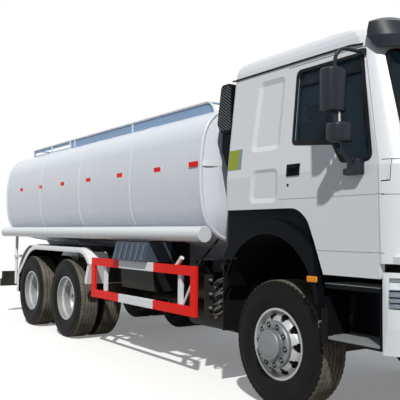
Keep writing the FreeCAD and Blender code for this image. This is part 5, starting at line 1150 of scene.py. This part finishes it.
def intake_mesh():
    """Slanted ribs over the outer face of the air intake: each is the part of a line, height falling
    by 0.65 of the way ahead, that lies inside the face's outline."""
    ribs = []
    for start in np.arange(1.8, 2.6, 0.028):
        x = np.linspace(-0.862, -0.654, 60)
        z = start - 0.65 * x
        rear = np.interp(z, (INTAKE_LOW, 2.50, INTAKE_HIGH), (-0.815, -0.852, -0.800))
        inside = (z > INTAKE_LOW) & (z < INTAKE_HIGH) & (x > rear)
        if inside.sum() > 6:
            ends = upright(np.stack([x, z], axis=-1)[inside], -1.1505)[[0, -1]]
            ribs.append(band((0.009, 0.007, 0.002, 2), ends, up=(0, 1, 0)))
    piece("intake_mesh", joined(ribs), "mesh_grey", "cab")


def mirrors():
    """Rounded mirror heads with their glasses on bent tubes, in the form of the solids they replace.
    A head's plan is a blunt nose, powers of a half circle's cosine and sine, with a bevelled back."""
    turn = np.linspace(-math.pi / 2, math.pi / 2, 25)
    nose = np.stack([0.050 + 0.068 * np.cos(turn) ** 0.8,
                     0.095 * np.sign(np.sin(turn)) * np.abs(np.sin(turn)) ** 0.75], axis=-1)
    back = np.array([(0.012, 0.095), (0.003, 0.091), (0.0, 0.083)])
    plan = np.vstack([nose, back, back[::-1] * [1, -1]])
    forms = [prism(plan + [at(x), MIRROR_Y], low, high, "Z", 0.022, 5)
             for x, low, high in ((0.824, 2.334, 2.653), (0.885, 2.111, 2.247))]
    post = at(0.930)
    stem = at(0.886)
    tubes = (([(stem, MIRROR_Y, 2.64), (stem, MIRROR_Y, 2.745), (stem + 0.02, -1.340, 2.806),
               (post, -1.150, 2.800)], 0.014, 0.06, 12),
             ([(stem + 0.014, -1.400, 2.235), (stem + 0.014, -1.400, 2.345)], 0.012, 0.02, 12),
             ([(post + 0.010, -1.375, 2.125), (post + 0.012, -1.372, 2.03), (post + 0.03, -1.27, 1.945)],
              0.014, 0.06, 12),
             ([(post - 0.022, -1.345, 2.13), (post - 0.016, -1.345, 2.05), (post + 0.02, -1.255, 1.965)],
              0.009, 0.05, 10))
    forms += [pipe(points, radius, bend, sides, up=(1, 0, 0)) for points, radius, bend, sides in tubes]
    rod = pipe([(stem + 0.020, -1.365, 2.235), (stem + 0.020, -1.365, 2.345)], 0.008, 0.02, 10, up=(1, 0, 0))
    feet = (((0.902, -1.296, 1.890), (1.018, -1.215, 2.002), 0.35),
            ((0.860, -1.290, 1.884), (1.020, -1.222, 1.936), 0.3),
            ((0.895, -1.176, 2.775), (0.965, -1.134, 2.825), 0.35))
    forms += [pillow(placed(low), placed(high), power) for low, high, power in feet]
    glasses = [prism(rounded_outline(0.150, height, radius, 5) + [MIRROR_Y, z], at(x), at(x - 0.003), "X",
                     0.001)
               for height, radius, z, x in ((0.270, 0.035, 2.4935, 0.8235), (0.104, 0.030, 2.179, 0.8845))]
    for side, sign in SIDES.items():
        form = joined(forms) if sign < 0 else across(joined(forms))
        piece("mirror_arm_" + side, form, "smooth_black", "door_" + side,
              ["mirror_" + side], 50)
    on_each_side("mirror_glass", joined(glasses + [rod]), "mirror_face", "door")


def corner_line(points, wide):
    """A dark seam through (distance ahead, height) points on the cab's right front corner."""
    flat = resampled(points, 0.02)
    path = np.stack([at(flat[:, 0]), -side_y(flat[:, 0], flat[:, 1]), flat[:, 1]], axis=-1)
    return band((wide, 0.0016, 0.0005, 2), path, up=(0.3, -1, 0))


def corner_seams():
    """Seams of the corner panel and its air vane ahead of each door."""
    seams = [corner_line(points, wide) for points, wide in (
        ([(1.160, 1.982), (1.320, 1.982)], 0.006), ([(1.222, 1.980), (1.216, 1.835)], 0.005),
        ([(1.216, 1.835), (1.160, 1.832)], 0.008), ([(1.160, 1.738), (1.325, 1.738)], 0.004))]
    on_both_sides("corner_seams", seams, "rubber", "cab")
    vane = corner_line([(1.192, 1.840), (1.195, 1.975)], 0.044)
    on_both_sides("corner_vanes", [vane], "white_paint", "cab")


def headlamp_insides():
    """Behind the clear lamp covers: a silver bed that follows the nose, dark bars and a white strip
    before it, and two bright bowls."""
    y = np.linspace(0.78, 1.205, 24)
    bed = np.stack([at(plan_x(y, LAMP_FRONT, LAMP_HALF)), -y, np.full(24, 1.060)], axis=-1)[::-1]
    ahead = bed + [0.004, -0.003, 0.0]
    bars = [band((0.004, 0.010, 0.001, 2), ahead + [0, 0, lift]) for lift in (-0.066, -0.028, 0.016)]
    strip = band((0.004, 0.046, 0.001, 2), ahead + [0, 0, 0.050])
    size = 0.062
    dish = [(0.0, 0.004), (size * 0.5, 0.007), (size, 0.030), (size + 0.004, 0.030), (size + 0.004, 0.0),
            (0.0, 0.0)]
    bowls = [turned(dish, (at(float(plan_x(out, LAMP_FRONT, LAMP_HALF)) - 0.004), -out, 1.065), 28, "X")
             for out in (0.86, 1.01)]
    on_both_sides("lamp_beds", [band((0.004, 0.200, 0.001, 2), bed)], "lamp_silver")
    on_both_sides("lamp_bars", bars, "black_and_painted_shade")
    on_both_sides("lamp_strips", [strip], "strip_white")
    on_both_sides("lamp_reflectors", bowls, "chrome")


def seat_pads():
    """Crowned fabric cushions, backs and head rests on plain black bases with two rods each."""
    boxes = {"cushion": ((-0.03, -0.240, 1.885), (0.440, 0.240, 2.020)),
             "back": ((-0.060, -0.235, 1.965), (0.068, 0.235, 2.455)),
             "head": ((-0.055, -0.120, 2.475), (0.040, 0.120, 2.618))}
    bases = []
    for side, sign in SIDES.items():
        y = 0.65 * sign
        bases.append(slab((0.00, 0.38), (y - 0.17, y + 0.17), (1.717, 1.900), 0.02))
        for kind, (low, high) in boxes.items():
            pad = crowned(pillow(placed(low) + [0, y, 0], placed(high) + [0, y, 0], 0.42), 0.07)
            soft = piece("seat_%s_%s" % (kind, side), pad, "seat_fabric", "cab", ["seats"], 60)
        for way in (-0.05, 0.05):
            bases.append(pipe(placed([(-0.01, y + way, 2.42), (-0.01, y + way, 2.50)]), 0.006, 0.01, 8,
                              up=(1, 0, 0)))
    piece("seat_bases", joined(bases), "black_plastic", "cab")


def rain_gutter():
    """Black gutter along the cab's side above the doors, turned down at its front."""
    gutter = band((0.020, 0.012, 0.004, 3), on_side(GUTTER_LINE, 0.004))
    on_both_sides("rain_gutter", [gutter], "rubber", "cab")


window_seals()
door_handles()
side_label()
windscreen_trim()
flare_trim()
step_trim()
intake_mesh()
mirrors()
corner_seams()
headlamp_insides()
seat_pads()
rain_gutter()

# Chassis trim

GUARD_POSTS = (-1.415, -3.12)
GUARD_WHITE = (-2.70, -1.90)
GUARD_ENDS = (-3.44, -1.10)
MUDGUARD_TOP = 1.245
MUDGUARD_FRONT_RADIUS = 0.42
MUDGUARD_REAR_RADIUS = 0.76


def guard_trim():
    """White parts of the side guards: a sleeve on the middle of each bar, brackets, a stub tube and
    a brace; and, in dark paint, a rod to the frame and an arm behind each bracket."""
    white = [slab(GUARD_WHITE, (-1.2368, -1.2034), z) for z in ((1.034, 1.1312), (0.6338, 0.7312))]
    white += [slab((x - 0.032, x + 0.032), (-1.2075, -1.173), (0.731, 1.034)) for x in GUARD_POSTS]
    white += [pipe(placed([(-1.515, -1.19, 1.10), (-1.40, -1.19, 1.205)]), 0.024, 0.02, 16, up=(0, 1, 0)),
              pipe(placed([(-1.39, -1.19, 0.70), (-1.16, -1.185, 1.045)]), 0.012, 0.02, 10, up=(0, 1, 0))]
    on_both_sides("guard_white_parts", white, "strip_white")
    dark = [pipe(placed([(-1.10, -0.95, 1.40), (-1.17, -1.15, 1.147), (-1.42, -1.12, 0.66)]), 0.012, 0.03, 10,
                 up=(0, 1, 0))]
    dark += [slab((x - 0.0315, x + 0.0315), (-1.172, -0.432), (1.0385, 1.1015)) for x in GUARD_POSTS]
    on_both_sides("guard_brace_rods", dark, "chassis_paint")


def guard_ribs():
    """Two pressed beads along each bar of the side guards, red and white like the bars."""
    red = []
    white = []
    spans = (((GUARD_ENDS[0], GUARD_WHITE[0]), red, 1.2365), (GUARD_WHITE, white, 1.2385),
             ((GUARD_WHITE[1], GUARD_ENDS[1]), red, 1.2365))
    for low in (0.635, 1.035):
        for lift in (0.018, 0.072):
            for span, store, out in spans:
                store.append(slab(span, (-out, -1.234), (low + lift, low + lift + 0.006), 0.001))
    on_both_sides("guard_beads_red", red, "red_paint")
    on_both_sides("guard_beads_white", white, "strip_white")


def battery_ribs():
    """Painted highlights: light lines along both edges of the six ribs on the battery cover's slanted face.
    """
    edges = []
    for number in range(6):
        for edge in (-0.008, 0.008):
            x = -2.016 - 0.766 / 6 * (number + 0.5) + edge
            edges.append(pipe(placed([(x, -1.2935, 1.146), (x, -1.2455, 1.327)]), 0.0022, 0.01, 6,
                              up=(1, 0, 0)))
    piece("battery_rib_highlights", joined(edges), "label_grey", "chassis")


def mudguard_line(stand):
    """Points (distance ahead, height) up the front curve of a rear mudguard and along its top."""
    turn = np.radians(np.linspace(31.3, 95.6, 14))
    curve = arc((-3.859, 0.827), MUDGUARD_FRONT_RADIUS + stand, turn)
    lead = np.array([(-3.59 + stand, 0.79), (-3.50 + stand, 1.040)])
    return np.vstack([lead, curve, [(x, MUDGUARD_TOP + stand) for x in (-4.30, -5.20, -5.70)]])


def mudguard_whole(stand):
    """The same points with the curve behind the last wheel and the flap below it."""
    turn = np.radians(np.linspace(92, 131.1, 9))
    curve = arc((-5.435, 0.485), MUDGUARD_REAR_RADIUS + stand, turn)
    tail = np.array([(-6.27 - 0.7 * stand, 0.765 + 0.5 * stand), (-6.30 - stand, 0.47)])
    return np.vstack([mudguard_line(stand)[:-1], curve, tail])


def mudguard_rim():
    """A white rim down the outer edge of each rear mudguard, in the mudguards' brighter white of painted
    light, and painted shade under its sheet as a near-black sheet.
    """
    rim = band((0.014, 0.064, 0.004, 3), upright(mudguard_whole(-0.034), -1.234))
    on_both_sides("mudguard_rims", [rim], "mudguard_painted_light_white")
    underside_shade = band((0.585, 0.006, 0.002, 2), upright(mudguard_whole(-0.018), -0.934))
    on_both_sides("mudguard_underside_shade", [underside_shade], "black_and_painted_shade")


def mudguard_ribs():
    """Dark ribbed rubber on the rear mudguards' top and, on their inner part, the front curve too."""
    line = mudguard_line(0.003)
    strips = [(y, 0.030, 0.012) for y in np.arange(-1.105, -0.68, 0.045)]
    strips += [(-1.029, 0.182, 0.004), (-0.794, 0.268, 0.004)]
    ribs = [band((broad, thick, thick / 3, 2), upright(line[8:] if y < -0.94 else line, y))
            for y, broad, thick in strips]
    on_both_sides("mudguard_ribs", ribs, "rubber")


def rear_posts():
    """A white drain post and its bracket under each rear end of the hose tubes."""
    post = pipe(placed([(-6.75, -1.10, 0.56), (-6.75, -1.10, 0.95), (-6.75, -1.10, 1.40)]), 0.024, 0.02, 14,
                up=(0, 1, 0))
    collar = slab((-6.79, -6.71), (-1.135, -1.065), (1.00, 1.06), 0.006)
    arm = slab((-6.78, -6.72), (-1.10, -0.42), (1.01, 1.05), 0.006)
    on_both_sides("rear_posts", [post, collar, arm], "strip_white")


def hose_clutter():
    """Air lines, a plate and its rows of fittings between the cab and the side guard. The lines
    spread with their number's share of the whole and its remainders by two, three and four."""
    lines = []
    for number in range(11):
        share = number / 10
        two, three, four = number % 2, number % 3, number % 4
        path = placed([(-1.00 - 0.02 * three, -0.46, 1.05 - 0.03 * three),
                       (-0.96 - 0.05 * four, -0.80, 1.06 - 0.30 * share),
                       (-1.00 - 0.04 * three, -1.03 + 0.02 * two, 1.00 - 0.38 * share),
                       (-1.13, -1.00 + 0.04 * three, 0.93 - 0.32 * share),
                       (-1.22, -0.80 + 0.05 * three, 0.90 - 0.25 * share)])
        lines.append(pipe(path, 0.007 + 0.003 * three, 0.10, 8))
    on_both_sides("air_lines", lines, "line_grey")
    # The black plate carries the fittings and is also painted shade: it darkens the gap under the tank behind
    # the lines.
    plate = slab((-1.24, -1.23), (-1.02, -0.44), (0.62, 1.04))
    on_both_sides("air_line_plates", [plate], "chassis_paint")
    y, z = np.meshgrid(np.linspace(-0.96, -0.56, 5), np.linspace(0.70, 0.98, 3))
    spots = np.stack([np.full(y.size, at(-1.23)), y.ravel(), z.ravel()], axis=-1)
    fitting = prism(circle(0.017, 6), -0.01, 0.035, "X", 0.003)
    on_both_sides("air_fittings", [copies(fitting, shifts(spots))], "cover_paint")


def brake_chambers():
    """Brake chambers and U-bolts on the drive axles, and straps and a cap on the fuel tank."""
    drum = [(0.0, 0.0), (0.070, 0.0), (0.085, 0.015), (0.090, 0.060), (0.096, 0.062), (0.096, 0.074),
            (0.090, 0.076), (0.088, 0.150), (0.070, 0.170), (0.0, 0.172)]
    chambers = []
    bolts = []
    for axle in (-4.325, -5.675):
        chambers.append(turned(drum, (at(axle + 0.20), -0.52, 0.66), 24, "X"))
        for x in (axle - 0.09, axle + 0.09):
            bolts += [pipe(placed([(x, y, 0.42), (x, y, 0.70)]), 0.010, 0.01, 8, up=(0, 1, 0))
                      for y in (-0.47, -0.40)]
    on_both_sides("brake_chambers", chambers + bolts, "axle_iron")
    low = np.array([0.425, 0.560])
    high = np.array([1.065, 1.120])
    loop = rounded_outline(high[0] - low[0] + 0.006, high[1] - low[1] + 0.006, 0.10, 8) + (low + high) / 2
    straps = []
    for x in (-2.50, -1.75):
        path = np.stack([np.full(len(loop), at(x)), loop[:, 0], loop[:, 1]], axis=-1)
        straps.append(band((0.006, 0.045, 0.002, 2), path, closed=True, up=(1, 0, 0)))
    piece("fuel_tank_straps", joined(straps), "aluminium", "chassis")
    cap = turned([(0.0, 0.0), (0.050, 0.0), (0.050, 0.030), (0.044, 0.038), (0.0, 0.040)],
                 (at(-1.66), 0.90, 1.116), 24, "Z")
    piece("fuel_cap", cap, "black_plastic", "chassis")


def tail_lamps():
    """Red, amber and clear lenses on the tail lamp boxes, and a blank plate between them."""
    for tone, key, inner in (("red", "lens_red", 0.915), ("amber", "lens_amber", 0.79),
                             ("clear", "strip_white", 1.04)):
        lens = slab((-7.386, -7.376), (-inner - 0.095, -inner), (0.622, 0.728), 0.004)
        on_both_sides("tail_lens_" + tone, [lens], key)
    plate = slab((-7.385, -7.375), (-0.26, 0.26), (0.61, 0.73), 0.004)
    piece("blank_plate", plate, "strip_white", "chassis")


guard_trim()
guard_ribs()
battery_ribs()
mudguard_rim()
mudguard_ribs()
rear_posts()
hose_clutter()
brake_chambers()
tail_lamps()

# Lights, floor, backdrop and camera

SUN_FROM = Vector((0.555, -0.413, 0.727))
CAMERA_PLACE = Vector((4.0393, -4.7358, 1.4553))
CAMERA_YAW = 0.96580
CAMERA_PITCH = 0.05253
CAMERA_ROLL = 0.01113
CAMERA_FOCUS = 633.15
PHOTO_SIZE = 400
SKY_TONE = (0.74, 0.87, 1.0, 1)
SKY_STRENGTH = 0.24
FLOOR_HALF = 60.0
EARTH_TONE = (0.26, 0.24, 0.215, 1)
FLOOR_TONE = (0.85, 0.85, 0.85, 1)
FLOOR_GLOW = 0.20


def seen_directly(tree):
    """1 where a camera, mirror or glass ray meets the surface, else 0."""
    path = tree.nodes.new("ShaderNodeLightPath")
    seen = math_node(tree, "MAXIMUM", path.outputs["Is Camera Ray"], path.outputs["Is Glossy Ray"])
    return math_node(tree, "MAXIMUM", seen, path.outputs["Is Transmission Ray"])


def white_when_seen(tree, shader_output, target):
    """Let camera, mirror and glass rays see white, and other rays the shader."""
    white = tree.nodes.new("ShaderNodeBackground")
    white.inputs["Color"].default_value = (1, 1, 1, 1)
    white.inputs["Strength"].default_value = 1.0
    mix = tree.nodes.new("ShaderNodeMixShader")
    tree.links.new(seen_directly(tree), mix.inputs[0])
    tree.links.new(shader_output, mix.inputs[1])
    tree.links.new(white.outputs[0], mix.inputs[2])
    tree.links.new(mix.outputs[0], target)


def daylight():
    """A soft sky from all round and one sun from the right front."""
    scene = bpy.context.scene
    scene.view_settings.view_transform = "Standard"
    world = bpy.data.worlds.new("pale_sky")
    scene.world = world
    world.use_nodes = True
    tree = world.node_tree
    sky = tree.nodes["Background"]
    sky.inputs["Color"].default_value = SKY_TONE
    sky.inputs["Strength"].default_value = SKY_STRENGTH
    white_when_seen(tree, sky.outputs[0], tree.nodes["World Output"].inputs["Surface"])
    sun = bpy.data.lights.new("sun", "SUN")
    sun.energy = 3.4
    sun.angle = math.radians(1.5)
    sun.color = (1.0, 0.98, 0.94)
    lamp = bpy.data.objects.new("sun", sun)
    lamp.rotation_euler = SUN_FROM.to_track_quat("Z", "Y").to_euler()
    scene.collection.objects.link(lamp)


def ground():
    """A wide floor under the tyres: seen as white with the truck's shadow, and as earth by the
    light that it throws back."""
    edge = (-FLOOR_HALF, FLOOR_HALF)
    grid = np.zeros((2, 2, 3))
    grid[..., 0], grid[..., 1] = np.meshgrid(edge, edge, indexing="ij")
    points, faces = grid_form(grid)
    mesh = bpy.data.meshes.new("floor")
    mesh.from_pydata(points.tolist(), [], faces[:, ::-1].tolist())
    floor = bpy.data.objects.new("floor", mesh)
    bpy.context.scene.collection.objects.link(floor)
    pale = bpy.data.materials.new("pale_floor")
    pale.use_nodes = True
    tree = pale.node_tree
    shader = tree.nodes["Principled BSDF"]
    seen = seen_directly(tree)
    tree.links.new(mixed(tree, seen, EARTH_TONE, FLOOR_TONE), shader.inputs["Base Color"])
    shader.inputs["Roughness"].default_value = 0.9
    shader.inputs["Specular IOR Level"].default_value = 0.0
    shader.inputs["Emission Color"].default_value = (1, 1, 1, 1)
    tree.links.new(math_node(tree, "MULTIPLY", seen, FLOOR_GLOW), shader.inputs["Emission Strength"])
    mesh.materials.append(pale)


def photo_camera():
    """The photograph's viewpoint: turned by yaw, pitch and roll, with a focus given in its pixels."""
    camera = bpy.data.cameras.new("photo_camera")
    camera.sensor_width = 36.0
    camera.lens = CAMERA_FOCUS / PHOTO_SIZE * camera.sensor_width
    camera.clip_end = 200.0
    forward = Vector((-math.sin(CAMERA_YAW) * math.cos(CAMERA_PITCH),
                      math.cos(CAMERA_YAW) * math.cos(CAMERA_PITCH), math.sin(CAMERA_PITCH)))
    right = forward.cross(Vector((0, 0, 1))).normalized()
    up = right.cross(forward)
    turned_right = right * math.cos(CAMERA_ROLL) + up * math.sin(CAMERA_ROLL)
    turned_up = up * math.cos(CAMERA_ROLL) - right * math.sin(CAMERA_ROLL)
    turn = Matrix((turned_right, turned_up, -forward)).transposed().to_4x4()
    thing = bpy.data.objects.new("photo_camera", camera)
    thing.matrix_world = Matrix.Translation(CAMERA_PLACE + Vector((FRONT_X, 0, 0))) @ turn
    bpy.context.scene.collection.objects.link(thing)
    bpy.context.scene.camera = thing


daylight()
ground()
photo_camera()
